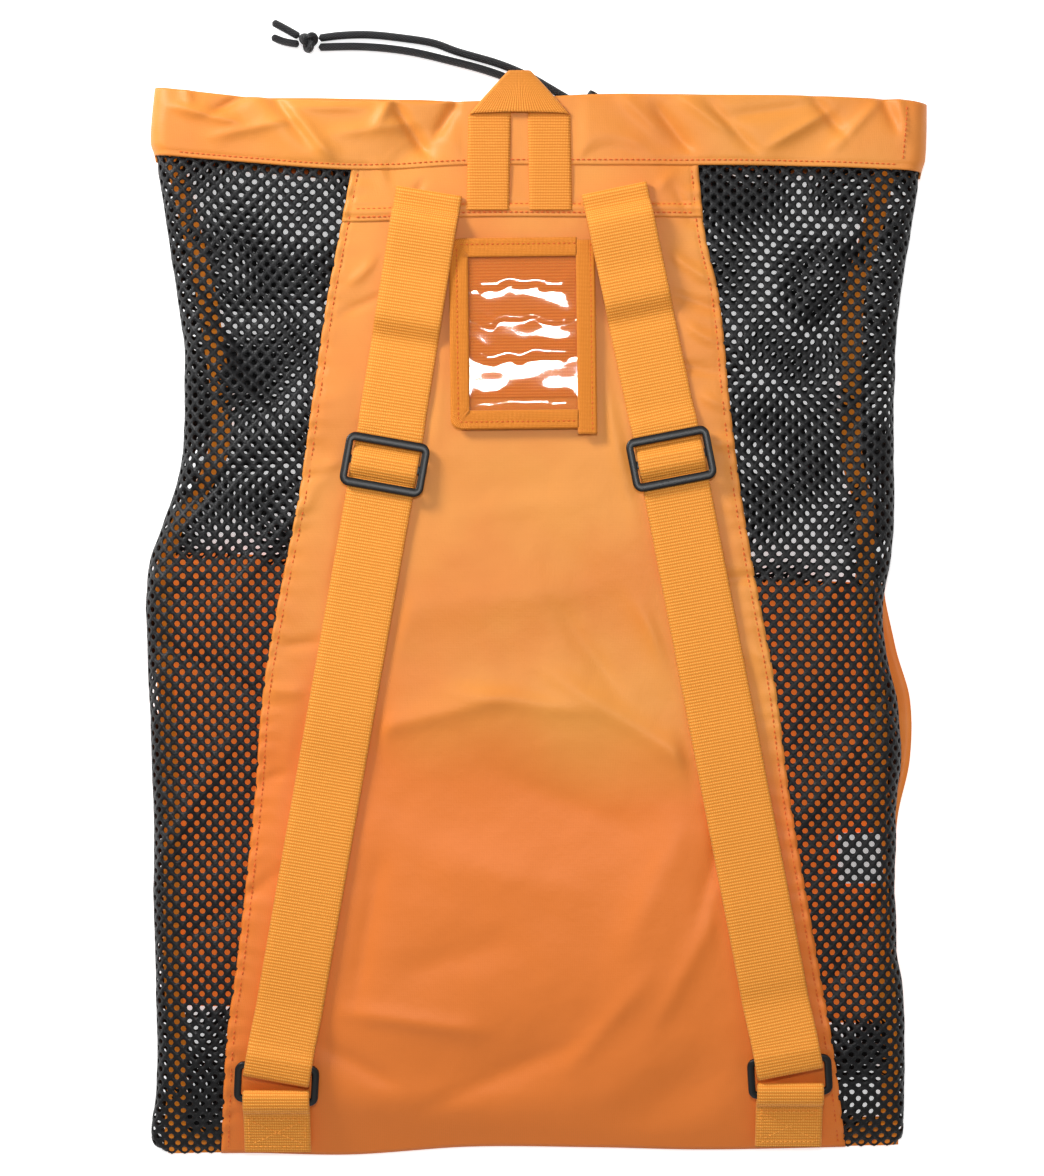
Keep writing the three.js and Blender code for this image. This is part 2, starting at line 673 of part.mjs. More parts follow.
// Plane that lies on the upper wall under a piece: heading is the way along it on the plan
function seat(centre, heading, width, length) {
  const heightAt = (v) => carry(centre.clone().addScaledVector(heading, v), heading, width);
  const half = length / 2;
  const slope = (heightAt(half) - heightAt(-half)) / length;
  let rise = 0;
  for (let v = -half; v <= half; v += length / 8)
    rise = Math.max(rise, heightAt(v) - heightAt(-half) - slope * (v + half));
  const along3 = new THREE.Vector3(heading.x, heading.y, slope).normalize();
  const across3 = new THREE.Vector3(heading.y, -heading.x, 0);
  const normal = new THREE.Vector3().crossVectors(across3, along3);
  const z = (heightAt(half) + heightAt(-half)) / 2 + rise;
  const origin = new THREE.Vector3(centre.x, centre.y, z);
  return {
    across: across3,
    normal,
    along: along3,
    origin,
    at: (v, h, u = 0) =>
      origin.clone().addScaledVector(along3, v).addScaledVector(normal, h).addScaledVector(across3, u),
    matrix: new THREE.Matrix4().makeBasis(across3, along3, normal).setPosition(origin),
  };
}

// Solid of manifold-3d from a closed three.js geometry, and back
function solidOf(geometry) {
  const bare = geometry.clone();
  bare.deleteAttribute("normal");
  bare.deleteAttribute("uv");
  const merged = mergeVertices(bare, 1e-3);
  return new wasm.Manifold(
    new wasm.Mesh({
      numProp: 3,
      vertProperties: new Float32Array(merged.attributes.position.array),
      triVerts: new Uint32Array(merged.index.array),
    }),
  );
}
function geometryOf(solid) {
  const mesh = solid.getMesh();
  const geometry = new THREE.BufferGeometry();
  geometry.setAttribute("position", new THREE.BufferAttribute(mesh.vertProperties, 3));
  geometry.setIndex(new THREE.BufferAttribute(mesh.triVerts, 1));
  geometry.computeVertexNormals();
  return geometry;
}
const joined = (...geometries) =>
  geometryOf(geometries.map(solidOf).reduce((sum, next) => sum.add(next)));

function roundedRectangle(Kind, width, height, radius) {
  const [x, y] = [width / 2, height / 2];
  const path = new Kind();
  path.moveTo(x, -y + radius);
  path.lineTo(x, y - radius);
  path.absarc(x - radius, y - radius, radius, 0, Math.PI / 2);
  path.lineTo(-x + radius, y);
  path.absarc(-x + radius, y - radius, radius, Math.PI / 2, Math.PI);
  path.lineTo(-x, -y + radius);
  path.absarc(-x + radius, -y + radius, radius, Math.PI, 1.5 * Math.PI);
  path.lineTo(x - radius, -y);
  path.absarc(x - radius, -y + radius, radius, 1.5 * Math.PI, 2 * Math.PI);
  return path;
}

// Prism over a plan outline given in a seat's own coordinates
function plate(outlinePoints, low, high) {
  const shape = new THREE.Shape(outlinePoints.map(([x, y]) => new THREE.Vector2(x, y)));
  return new THREE.ExtrudeGeometry(shape, { depth: high - low, bevelEnabled: false }).translate(0, 0, low);
}

// Identity window: a ribbed backing, a clear film over it and tape round the edge
const windowCentre = plan(windowPlace);
const windowHeading = new THREE.Vector2(Math.sin(windowPlace.turn), Math.cos(windowPlace.turn));
const windowSeat = seat(windowCentre, windowHeading, windowWidth, windowHeight);
const windowTop = 4 * layerGap + backingWall + filmWall + windowTapeWall;
{
  const place = windowSeat;
  const [w, h] = [windowWidth / 2, windowHeight / 2];
  const inset = windowTape / 2;
  const backingHigh = layerGap + backingWall;
  const filmLow = backingHigh + layerGap;
  const filmHigh = filmLow + filmWall;
  const tapeLow = filmHigh + layerGap;
  const tapeHigh = tapeLow + windowTapeWall;
  const box = (left, bottom, right, top, low, high) =>
    plate([[left, bottom], [right, bottom], [right, top], [left, top]], low, high);
  const backing = add(
    "window_backing",
    box(-w + inset, -h + inset, w - inset, h - inset, layerGap, backingHigh),
    looks.webbing,
  );
  const film = add("window_film", box(-w + inset, -h + inset, w - inset, h - inset, filmLow, filmHigh), looks.film);
  const round = 6; // bent corner of the tape on the left
  const corner = (cy, from, to) =>
    [0, 0.5, 1].map((t) => {
      const angle = mix(from, to, t) * (Math.PI / 2);
      return [-w + round + round * Math.cos(angle), cy + round * Math.sin(angle)];
    });
  const tapeEnd = w - windowTape - seamGap;
  const bent = add(
    "window_tape_bent",
    plate(
      [
        [tapeEnd, h],
        ...corner(h - round, 1, 2),
        ...corner(-h + round, 2, 3),
        [tapeEnd, -h],
        [tapeEnd, -h + windowTape],
        [-w + windowTape, -h + windowTape],
        [-w + windowTape, h - windowTape],
        [tapeEnd, h - windowTape],
      ],
      tapeLow,
      tapeHigh,
    ),
    looks.webbing,
  );
  const straight = add(
    "window_tape_right",
    box(w - windowTape, -h - 3.4, w, h - 1.5, tapeLow, tapeHigh),
    looks.webbing,
  );
  [backing, film, bent, straight].forEach((mesh) => mesh.applyMatrix4(place.matrix));
}

// Height of what a strap lies on: the upper wall, or the window's edge where that is under it
const [windowX, windowY] = [windowCentre.x, windowCentre.y];
function restAt(x, y) {
  const wall = topAt(x, y);
  const overlap = Math.min(windowWidth / 2 + 1 - Math.abs(x - windowX), windowHeight / 2 + 5 - Math.abs(y - windowY));
  return overlap < 0 ? wall : Math.max(wall, windowSeat.at(y - windowY, windowTop).z);
}

// Moulded frame of a slider or ring, with its lower face at z 0
const windowWide = strapWidth + 2 * barSideClearance;
const frameWidth = windowWide + 2 * (barWidth - 0.8);
function mouldedFrame(length, crossBar) {
  const chamfer = 0.6;
  const shape = roundedRectangle(THREE.Shape, frameWidth - 2 * chamfer, length - 2 * chamfer, 4.4);
  const inner = length - 2 * crossBar;
  shape.holes.push(roundedRectangle(THREE.Path, windowWide + 2 * chamfer, inner + 2 * chamfer, 2));
  return new THREE.ExtrudeGeometry(shape, {
    depth: barHeight - 2 * chamfer,
    bevelThickness: chamfer,
    bevelSize: chamfer,
    bevelSegments: 1,
    curveSegments: 2,
  }).translate(0, 0, chamfer);
}
const sliderFrame = joined(
  mouldedFrame(sliderLength, barWidth),
  new THREE.BoxGeometry(windowWide + 2, barWidth, sliderBarHeight).translate(0, 0, sliderBarHeight / 2),
);
const ringFrame = mouldedFrame(ringLength, ringBarWidth);

// Layers of webbing over the wall, measured to their middles
const layer1 = layerGap + strapWall / 2;
const layer2 = layer1 + strapWall + layerGap;

for (const strap of straps) {
  const foldAt = plan(strap.fold);
  const sliderAt = plan(strap.slider);
  const ringAt = plan(strap.ring);
  const upper = new THREE.Vector2().subVectors(foldAt, sliderAt).normalize();
  const lower = new THREE.Vector2().subVectors(sliderAt, ringAt).normalize();

  // The slider is tilted: one layer passes under its upper bar and two under its lower bar
  const sliderSeat = seat(sliderAt, lower, frameWidth, sliderLength + 13);
  const barMiddle = (sliderLength - barWidth) / 2;
  const firstBar = layer1 + strapWall / 2 + layerGap;
  const lastBar = layer2 + strapWall / 2 + layerGap;
  const tilt = Math.atan2(lastBar - firstBar, 2 * barMiddle);
  const sliderFoot = (firstBar + lastBar) / 2 + 0.15;
  const slider = add("slider_" + strap.side, sliderFrame, looks.plastic);
  slider.applyMatrix4(new THREE.Matrix4().makeRotationX(-tilt).setPosition(0, 0, sliderFoot));
  slider.applyMatrix4(sliderSeat.matrix);

  const straight = new THREE.Vector2(0, 1);
  const ringHeading = straight.clone().lerp(lower, 0.35).normalize();
  const ringSeat = seat(ringAt, ringHeading, frameWidth, 40);
  const ringFoot = layer1 + strapWall / 2 + layerGap;
  const ring = add("ring_" + strap.side, ringFrame, looks.plastic);
  ring.applyMatrix4(new THREE.Matrix4().makeTranslation(0, 0, ringFoot));
  ring.applyMatrix4(ringSeat.matrix);

  const path = [];
  const across = (heading) => new THREE.Vector3(heading.y, -heading.x, 0);
  const lay = (from, to, layer, steps, heading) => {
    for (let k = 0; k <= steps; k += 1) {
      const spot = from.clone().lerp(to, k / steps);
      const z = carry(spot, heading, strapWidth, restAt) + layer;
      path.push({ at: new THREE.Vector3(spot.x, spot.y, z), across: across(heading) });
    }
  };
  // Points on a seat, along a heading of their own that crosses it at a distance from its middle
  const local = (place, list, heading = null, crossing = 0) => {
    const skew = heading ? heading.dot(new THREE.Vector2(place.across.x, place.across.y)) : 0;
    list.forEach(([v, h]) =>
      path.push({
        at: place.at(v, h, (v - crossing) * skew),
        across: heading ? across(heading) : place.across,
      }),
    );
  };

  // Out of the yoke seam, up, and folded over
  const foldRadius = (strapWall + layerGap + 0.5) / 2;
  const seamAt = foldAt.clone().addScaledVector(upper, -14);
  const turnAt = foldAt.clone().addScaledVector(upper, -foldRadius - strapWall / 2);
  lay(seamAt, turnAt.clone().addScaledVector(upper, -1), layer1, 2, upper);
  const turnHeight = carry(turnAt, upper, strapWidth, restAt) + layer1 + foldRadius;
  for (const angle of [-60, -30, 0, 30, 60]) {
    const t = THREE.MathUtils.degToRad(angle);
    const spot = turnAt.clone().addScaledVector(upper, foldRadius * Math.cos(t));
    const z = turnHeight + foldRadius * Math.sin(t);
    path.push({ at: new THREE.Vector3(spot.x, spot.y, z), across: across(upper).clone() });
  }
  const overLayer = layer1 + 2 * foldRadius;
  const settleAt = foldAt.clone().addScaledVector(upper, -44);
  lay(turnAt.clone().addScaledVector(upper, -1), foldAt.clone().addScaledVector(upper, -19), overLayer, 2, upper);
  lay(settleAt, sliderAt.clone().addScaledVector(upper, 30), layer1, 6, upper);

  // Under the slider's upper bar, over its middle bar and under its lower bar
  const overMiddle = sliderFoot + sliderBarHeight + layerGap + strapWall / 2;
  local(sliderSeat, [
    [20, layer1],
    [barMiddle - 3.2, layer1],
    [barMiddle - 7, mix(layer1, overMiddle, 0.52)],
    [3.4, overMiddle - 0.3],
    [0, overMiddle],
    [-3.4, overMiddle - 0.1],
    [-barMiddle + 6.2, mix(layer2, overMiddle, 0.5)],
    [-barMiddle + 2.9, layer2],
    [-20, layer2],
  ]);
  const down = (d) => ringAt.clone().addScaledVector(lower, d);
  const span = sliderAt.distanceTo(ringAt);
  lay(down(span - 32), down(42), layer2, 13, lower);

  // Round the ring's upper bar and back up underneath to the slider's middle bar
  const over = ringFoot + barHeight + layerGap + strapWall / 2;
  const barAt = (ringLength - ringBarWidth) / 2;
  const turnHigh = (over - layer1) / 2;
  const turnLow = (over + layer1) / 2;
  const strapTurn = 1.7; // middle of the webbing where it turns, over the ring's middle
  local(
    ringSeat,
    [
      [24, layer2 + 0.3],
      [17.5, mix(layer2, over, 0.7)],
      [barAt + 4.2, over],
      [barAt - 0.8, over + 0.2],
      [strapTurn + 2.6, turnLow + turnHigh * 0.94],
      [strapTurn + 0.7, turnLow + turnHigh * 0.5],
      [strapTurn, turnLow],
      [strapTurn + 0.7, turnLow - turnHigh * 0.5],
      [strapTurn + 2.6, turnLow - turnHigh * 0.92],
      [barAt - 0.5, layer1 - 0.1],
      [22, layer1],
    ],
    lower,
    5,
  );
  lay(down(42), down(span - 32), layer1, 13, lower);
  const underMiddle = sliderFoot - layerGap - strapWall / 2;
  local(sliderSeat, [
    [-20, layer1],
    [-8, layer1],
    [0, underMiddle - 0.2],
    [2, underMiddle],
  ]);
  add("strap_" + strap.side, ribbon(path, strapWidth, strapWall), looks.webbing);

  // Webbing tab that holds the ring, sewn to the foot of the back panel
  path.length = 0;
  const tabTurn = -4.6;
  const tabAt = ringSeat.at(tabTurn, 0);
  const heel = new THREE.Vector2(tabAt.x, level(tabAt.x, 0.003) + 0.6);
  const neck = new THREE.Vector2(tabAt.x, ringAt.y - 19);
  lay(heel, neck, layer1, 2, straight);
  local(
    ringSeat,
    [
      [-barAt - 2, layer1],
      [-barAt + 1.6, layer1],
      [tabTurn - 2.2, turnLow - turnHigh * 0.92],
      [tabTurn - 0.6, turnLow - turnHigh * 0.5],
      [tabTurn, turnLow],
      [tabTurn - 0.6, turnLow + turnHigh * 0.5],
      [tabTurn - 2.2, turnLow + turnHigh * 0.92],
      [-barAt + 1, over + 0.1],
      [-barAt - 3.2, over],
      [-16.5, mix(layer2, over, 0.5)],
    ],
    straight,
    tabTurn,
  );
  lay(neck, heel, layer2, 2, straight);
  add("tab_" + strap.side, ribbon(path, strapWidth, strapWall), looks.webbing);
}

// Carrying handle: webbing folded at 45 degrees into a peak, its two legs sewn into the yoke seam
{
  const upright = new THREE.Vector2(0, 1);
  const peak = plan({ across: -0.044, up: 1 });
  const legSeamUp = yokeFoot + 0.003;
  const footY = level(peak.x, legSeamUp);
  const middleY = (footY + peak.y) / 2;
  const place = seat(new THREE.Vector2(peak.x, middleY), upright, 2.2 * handleWidth, peak.y - footY);
  const top = peak.y + handleRise - middleY;
  const foot = footY - middleY;
  const fold = top - handleWidth;
  const outer = handleWidth + 4; // half the handle's width at the foot of the peak
  const topHalf = outer - handleWidth + 2.6;
  const legLow = layerGap;
  const legHigh = legLow + handleWall;
  const bandLow = legHigh + layerGap;
  const bandHigh = bandLow + handleWall;
  const leg = (side) => {
    const inner = outer - handleWidth;
    return plate(
      [
        [side * (outer + 1.2), foot],
        [side * outer, fold - 0.5],
        [side * topHalf, top],
        [side * inner, top - 3],
        [side * (inner + 1.6), foot],
      ].slice()[side < 0 ? "reverse" : "slice"](),
      legLow,
      legHigh,
    );
  };
  const crest = (side) =>
    plate(
      [
        [side * outer, fold - 0.5],
        [side * topHalf, top],
        [side * (topHalf - 1.6), top],
        [side * (outer - 2.4), fold - 0.5],
      ][side < 0 ? "reverse" : "slice"](),
      legLow,
      bandHigh,
    );
  const band = plate(
    [
      [-outer, fold - 0.5],
      [outer, fold - 0.5],
      [topHalf, top],
      [-topHalf, top],
    ],
    bandLow,
    bandHigh,
  );
  const handle = add("handle", joined(leg(-1), leg(1), crest(-1), crest(1), band), looks.webbing);
  handle.applyMatrix4(place.matrix);
}

// Care label on the inside of the front, sewn in beside the right tape
{
  const half = labelHeight / 2 / bagLength;
  const geometry = sheet(4, 2, (a, b, face) => {
    const up = mix(labelPlace.up - half, labelPlace.up + half, b);
    const inset = mix(labelPlace.inset, labelPlace.inset + labelWidth, a);
    const sink = netWall + seamGap + 0.8 + face * labelWall;
    return skin(1, runOf(1, inset, up), up, sink);
  });
  add("care_label", geometry, looks.label);
}

// Drawcord: two free ends through a cord lock, tied together in a knot
function cord(points, height) {
  const curve = new THREE.CatmullRomCurve3(points.map(([x, y], i) => new THREE.Vector3(x, y, height(i))));
  const section = new THREE.Shape();
  for (let k = 0; k < cordSides; k += 1) {
    const angle = ((k + 0.5) / cordSides) * 2 * Math.PI;
    const [x, y] = [(cordDiameter / 2) * Math.cos(angle), (cordDiameter / 2) * Math.sin(angle)];
    if (k === 0) section.moveTo(x, y);
    else section.lineTo(x, y);
  }
  section.closePath();
  const steps = Math.max(3, Math.round(curve.getLength() / (2 * cordDiameter)));
  return new THREE.ExtrudeGeometry(section, { steps, extrudePath: curve, bevelEnabled: false });
}
const onSurface = cordDiameter / 2 + 0.02;
const lockMiddle = lockHeight / 2;
const cordHeights = [lockMiddle, lockMiddle, lockMiddle, lockMiddle - 0.5, onSurface + 1.0];
const cordHeight = (i) => cordHeights[i] ?? onSurface;
for (const half of ["upper", "lower"]) {
  add("cord_" + half, cord(cordRoutes[half], cordHeight), looks.net);
  add("cord_tail_" + half, cord(tailRoutes[half], () => onSurface), looks.net);
}
{
  const knot = new THREE.IcosahedronGeometry(0.5, 1)
    .scale(knotSize.long, knotSize.wide, knotSize.high)
    .translate(knotPlace[0], knotPlace[1], knotSize.high / 2);
  add("cord_knot", knot, looks.net);
}
{
  const shape = roundedRectangle(THREE.Shape, lockWidth, lockLength, 3);
  const body = new THREE.ExtrudeGeometry(shape, {
    depth: lockHeight - 2,
    bevelThickness: 1,
    bevelSize: 1,
    bevelOffset: -1,
    bevelSegments: 1,
    curveSegments: 3,
  }).translate(0, 0, 1);
  const bore = new THREE.BoxGeometry(lockWidth + 4, 2 * cordDiameter + 2.6, cordDiameter + 1.2);
  bore.translate(0, 0, lockHeight / 2);
  const lock = add("cord_lock", geometryOf(solidOf(body).subtract(solidOf(bore))), looks.plastic);
  lock.rotation.z = lockPlace.turn;
  lock.position.set(lockPlace.x, lockPlace.y, 0);
}
// Each half of the cord comes out of the hem's lower wall through a slit
{
  let hem = solidOf(hemGeometry);
  for (const half of ["upper", "lower"]) {
    const [x, y] = cordRoutes[half][0];
    const slit = new THREE.BoxGeometry(slitLength, cordDiameter + 1, 2 * hemWall + 10);
    slit.rotateZ(lockPlace.turn).translate(x + 3.5, y - 2, wallHeights(x, upAt(x, y)).low);
    hem = hem.subtract(solidOf(slit));
  }
  add("hem", geometryOf(hem), looks.cloth);
}

// The origin lies under the middle of the bag, measured without its cord
backpack.updateMatrixWorld(true);
const outer = new THREE.Box3();
for (const mesh of backpack.children)
  if (!mesh.name.startsWith("cord")) outer.union(new THREE.Box3().setFromObject(mesh, true));
const middle = outer.getCenter(new THREE.Vector3());
backpack.position.set(-middle.x, -middle.y, 0);

export default backpack;
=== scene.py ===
import math

import bmesh
import bpy
import numpy as np
from mathutils import Matrix, Vector, noise


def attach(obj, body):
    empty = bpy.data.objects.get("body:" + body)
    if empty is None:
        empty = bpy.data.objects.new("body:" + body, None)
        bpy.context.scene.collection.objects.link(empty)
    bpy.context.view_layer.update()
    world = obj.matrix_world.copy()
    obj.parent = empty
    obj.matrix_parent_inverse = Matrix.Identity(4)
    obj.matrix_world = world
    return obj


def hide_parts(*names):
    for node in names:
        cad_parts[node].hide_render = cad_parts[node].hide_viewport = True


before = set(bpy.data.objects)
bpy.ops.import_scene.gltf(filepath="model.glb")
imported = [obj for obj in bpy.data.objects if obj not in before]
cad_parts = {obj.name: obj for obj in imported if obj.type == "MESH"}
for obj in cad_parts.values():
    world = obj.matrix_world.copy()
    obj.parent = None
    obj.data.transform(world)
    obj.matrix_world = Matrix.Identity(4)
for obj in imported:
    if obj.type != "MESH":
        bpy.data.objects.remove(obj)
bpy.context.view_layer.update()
mm = 0.001

# Camera, lights and floor. The photograph looks straight down at the bag, which lies on a white
# table: its scale comes from the shoulder webbing, which is 38 mm wide.
image_width, image_height = 1044, 1176
pixel = 0.567  # millimetres of the bag to a pixel of the photograph
centre_x, centre_y = 536.5, 613.5  # the pixel that lies over the bag's origin
camera_height = 1900
strap_level = 28  # height of the straps over the table, at which the scale holds
sensor = 36
camera = bpy.data.objects.new("camera", bpy.data.cameras.new("camera"))
bpy.context.collection.objects.link(camera)
bpy.context.scene.camera = camera
camera.data.sensor_width = sensor
camera.data.lens = sensor * (camera_height - strap_level) / (image_height * pixel)
camera.data.clip_end = 20
camera.location = (
    (image_width / 2 - centre_x) * pixel * mm,
    (centre_y - image_height / 2) * pixel * mm,
    camera_height * mm,
)

world = bpy.data.worlds.new("studio")
world.use_nodes = True
world.node_tree.nodes["Background"].inputs["Color"].default_value = (1.0, 1.0, 1.0, 1.0)
world.node_tree.nodes["Background"].inputs["Strength"].default_value = 0.3
bpy.context.scene.world = world
bpy.context.scene.view_settings.view_transform = "Standard"

# Rows: name, place, size, power
softboxes = [
    ("left_softbox", (-1.0, 0.9, 0.7), 0.4, 20.0),
    ("right_softbox", (1.1, 0.6, 1.2), 0.8, 3.0),
    ("foot_softbox", (-0.3, -1.4, 1.3), 0.8, 2.0),
    ("camera_lamp", (-0.008, 0.334, 1.9), 0.2, 11.0),
]
for name, place, size, power in softboxes:
    softbox = bpy.data.objects.new(name, bpy.data.lights.new(name, "AREA"))
    softbox.data.size = size
    softbox.data.energy = power
    softbox.location = place
    softbox.rotation_euler = (-Vector(place)).to_track_quat("-Z", "Y").to_euler()
    softbox.visible_camera = False
    bpy.context.collection.objects.link(softbox)


def plain_material(name, colour, roughness):
    """A Principled material of one colour, and its shader node."""
    material = bpy.data.materials.new(name)
    material.use_nodes = True
    shader = material.node_tree.nodes["Principled BSDF"]
    shader.inputs["Base Color"].default_value = colour
    shader.inputs["Roughness"].default_value = roughness
    return material, shader


table_bm = bmesh.new()
bmesh.ops.create_grid(table_bm, x_segments=1, y_segments=1, size=6)
table_mesh = bpy.data.meshes.new("table")
table_bm.to_mesh(table_mesh)
table_bm.free()
table = bpy.data.objects.new("table", table_mesh)
bpy.context.collection.objects.link(table)
table_white, table_shader = plain_material("table_white", (0.86, 0.86, 0.86, 1), 0.9)
table_shader.inputs["Emission Color"].default_value = (1, 1, 1, 1)
table_shader.inputs["Emission Strength"].default_value = 0.55
table_mesh.materials.append(table_white)


# Drawcord: two ends of 4.5 mm black braided cord. They come out of slits in the hem's front layer,
# pass through the cord lock, lie loose on the table and are tied together in an overhand knot.
cord_diameter = 4.5
on_table = cord_diameter / 2 + 0.05


def srgb(red, green, blue):
    """Linear colour of a colour that is written as it looks on a screen, 0 to 255."""
    return tuple(
        (c / 255 / 12.92 if c < 11 else ((c / 255 + 0.055) / 1.055) ** 2.4) for c in (red, green, blue)
    ) + (1.0,)


def node(material, kind, inputs=(), **settings):
    """A new node in a material, with its settings, and with values or links for its inputs."""
    made = material.node_tree.nodes.new(kind)
    for key, value in settings.items():
        setattr(made, key, value)
    for key, value in dict(inputs).items():
        if isinstance(value, bpy.types.NodeSocket):
            material.node_tree.links.new(value, made.inputs[key])
        else:
            made.inputs[key].default_value = value
    return made


def bump(material, shader, height, strength, distance):
    """Adds a bump, in metres, to a material, on top of any that it has."""
    made = node(material, "ShaderNodeBump", {"Height": height, "Strength": strength, "Distance": distance})
    socket = shader.inputs["Normal"]
    if socket.links:
        material.node_tree.links.new(socket.links[0].from_socket, made.inputs["Normal"])
    material.node_tree.links.new(made.outputs["Normal"], socket)


def wave(material, where, pitch, direction="X"):
    """Ribs at a pitch in metres along one axis of some coordinates."""
    inputs = {"Vector": where, "Scale": math.pi / 10 / pitch}
    ribs = node(material, "ShaderNodeTexWave", inputs, wave_type="BANDS", bands_direction=direction)
    return ribs.outputs["Fac"]


def ranged(material, value, low, high):
    """A value as a share of the way from low to high, 0 to 1."""
    inputs = {"Value": value, "From Min": low, "From Max": high}
    return node(material, "ShaderNodeMapRange", inputs).outputs["Result"]


def combine(material, first, second, operation):
    """Two heights in one math node."""
    return node(material, "ShaderNodeMath", {0: first, 1: second}, operation=operation).outputs["Value"]


def cloud(material, where, scale, detail=3.0, roughness=0.5):
    """Soft irregular patches, 0 to 1."""
    inputs = {"Vector": where, "Scale": scale, "Detail": detail, "Roughness": roughness}
    return node(material, "ShaderNodeTexNoise", inputs).outputs["Fac"]


def blended(material, factor, first, second):
    """A colour between two colours, each of them a colour or a link."""
    made = node(material, "ShaderNodeMix", {"Factor": factor}, data_type="RGBA")
    for socket, value in ((made.inputs[6], first), (made.inputs[7], second)):
        if isinstance(value, bpy.types.NodeSocket):
            material.node_tree.links.new(value, socket)
        else:
            socket.default_value = value
    return made.outputs[2]


def paint(material, shader, colour):
    """Links a colour to a material's base."""
    material.node_tree.links.new(colour, shader.inputs["Base Color"])


def object_place(material):
    """Places on the object, in metres."""
    return node(material, "ShaderNodeTexCoord").outputs["Object"]


def cloth_place(material, turn=0.0):
    """A piece's own UV map, in metres, turned by an angle."""
    where = node(material, "ShaderNodeUVMap", uv_map="flat").outputs["UV"]
    if turn:
        inputs = {"Vector": where, "Rotation": (0, 0, turn)}
        where = node(material, "ShaderNodeMapping", inputs).outputs["Vector"]
    return where


def finish_piece(name, bm, material, wall=0.0):
    """The object of a finished bmesh, with its wall, its material and its place on the bag."""
    mesh = bpy.data.meshes.new(name)
    for face in bm.faces:
        face.smooth = True
    bm.to_mesh(mesh)
    bm.free()
    mesh.materials.append(material)
    piece = bpy.data.objects.new(name, mesh)
    bpy.context.collection.objects.link(piece)
    if wall:
        thickness = piece.modifiers.new("wall", "SOLIDIFY")
        thickness.thickness = wall * mm
        thickness.offset = -1
    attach(piece, "root")
    return piece


def woven(name, columns, rows, place, flat, material, wall=0.0, closed=False, capped=False, trims=()):
    """A piece of cloth or webbing, made as a grid of cells. place turns two arrays, the shares across
    and along it, into points in millimetres. flat is its size in millimetres before it was laid, which
    its UV map keeps. closed joins its first column to its last, capped closes its two ends, and each
    trim cuts it off past a plane, given by a point and a normal."""
    bm = bmesh.new()
    flat_map = bm.loops.layers.uv.new("flat")
    bmesh.ops.create_grid(bm, x_segments=columns, y_segments=rows, size=0.5)
    shares = np.array([v.co[:2] for v in bm.verts]) + 0.5
    for face in bm.faces:
        for loop in face.loops:
            loop[flat_map].uv = (
                (loop.vert.co.x + 0.5) * flat[0] * mm,
                (loop.vert.co.y + 0.5) * flat[1] * mm,
            )
    for vert, point in zip(bm.verts, place(shares[:, 0], shares[:, 1]) * mm):
        vert.co = point
    if closed:
        bmesh.ops.remove_doubles(bm, verts=bm.verts, dist=0.005 * mm)
    if capped:
        bmesh.ops.holes_fill(bm, edges=[e for e in bm.edges if e.is_boundary], sides=0)
        bmesh.ops.recalc_face_normals(bm, faces=bm.faces)
    for point, normal in trims:
        everything = bm.verts[:] + bm.edges[:] + bm.faces[:]
        bmesh.ops.bisect_plane(
            bm, geom=everything, plane_co=Vector(point) * mm, plane_no=Vector(normal), clear_outer=True
        )
    return finish_piece(name, bm, material, wall)


def spline(points, count):
    """A smooth line through some points, as count rows that are evenly spaced, and its length."""
    points = np.array(points, dtype=float)
    ends = np.vstack([2 * points[0] - points[1], points, 2 * points[-1] - points[-2]])
    t = np.linspace(0, 1, 24, endpoint=False)[:, None]
    pieces = []
    for p0, p1, p2, p3 in zip(ends[:-3], ends[1:-2], ends[2:-1], ends[3:]):
        pieces.append(
            0.5 * (2 * p1 + (p2 - p0) * t + (2 * p0 - 5 * p1 + 4 * p2 - p3) * t**2
                   + (3 * p1 - p0 - 3 * p2 + p3) * t**3)
        )
    dense = np.vstack(pieces + [points[-1:]])
    run = np.concatenate([[0], np.cumsum(np.linalg.norm(np.diff(dense[:, :3], axis=0), axis=1))])
    even = np.linspace(0, run[-1], count)
    return np.column_stack([np.interp(even, run, dense[:, k]) for k in range(dense.shape[1])]), run[-1]


def unit(vectors):
    """Vectors of length 1 in the same directions."""
    vectors = np.asarray(vectors, dtype=float)
    return vectors / np.maximum(np.linalg.norm(vectors, axis=-1, keepdims=True), 1e-9)


def braided_tube(name, points, radius, material, sides=14, step=1.2):
    """A cord along a line, with rounded ends, and that line. Its UV map runs round it and along it."""
    line, length = spline(points, max(8, int(spline(points, 2)[1] / step)))
    rows = len(line) - 1
    tangent = unit(np.gradient(line, axis=0))
    side = unit(np.cross(tangent, [0, 0, 1.0]))
    up = np.cross(side, tangent)

    def place(a, b):
        row = np.rint(b * rows).astype(int)
        angle = 2 * np.pi * a
        end = np.minimum(row, rows - row) * step
        shrink = radius * np.sqrt(np.clip(1 - (1 - np.clip(end / 1.6, 0, 1)) ** 2, 0.02, 1))
        offset = side[row] * np.cos(angle)[:, None] + up[row] * np.sin(angle)[:, None]
        return line[row] + offset * shrink[:, None]

    flat = (2 * math.pi * radius, length)
    return woven(name, sides, rows, place, flat, material, closed=True, capped=True), line


cord_black, cord_shader = plain_material("braided_cord", srgb(22, 22, 24), 0.5)
cord_shader.inputs["Specular IOR Level"].default_value = 0.45
braid_a = wave(cord_black, cloth_place(cord_black, 0.62), 1.15 * mm)
braid_b = wave(cord_black, cloth_place(cord_black, -0.62), 1.15 * mm)
braid = combine(cord_black, braid_a, braid_b, "MULTIPLY")
paint(cord_black, cord_shader, blended(cord_black, braid, srgb(12, 12, 13), srgb(46, 46, 50)))
bump(cord_black, cord_shader, braid, 0.9, 0.5 * mm)

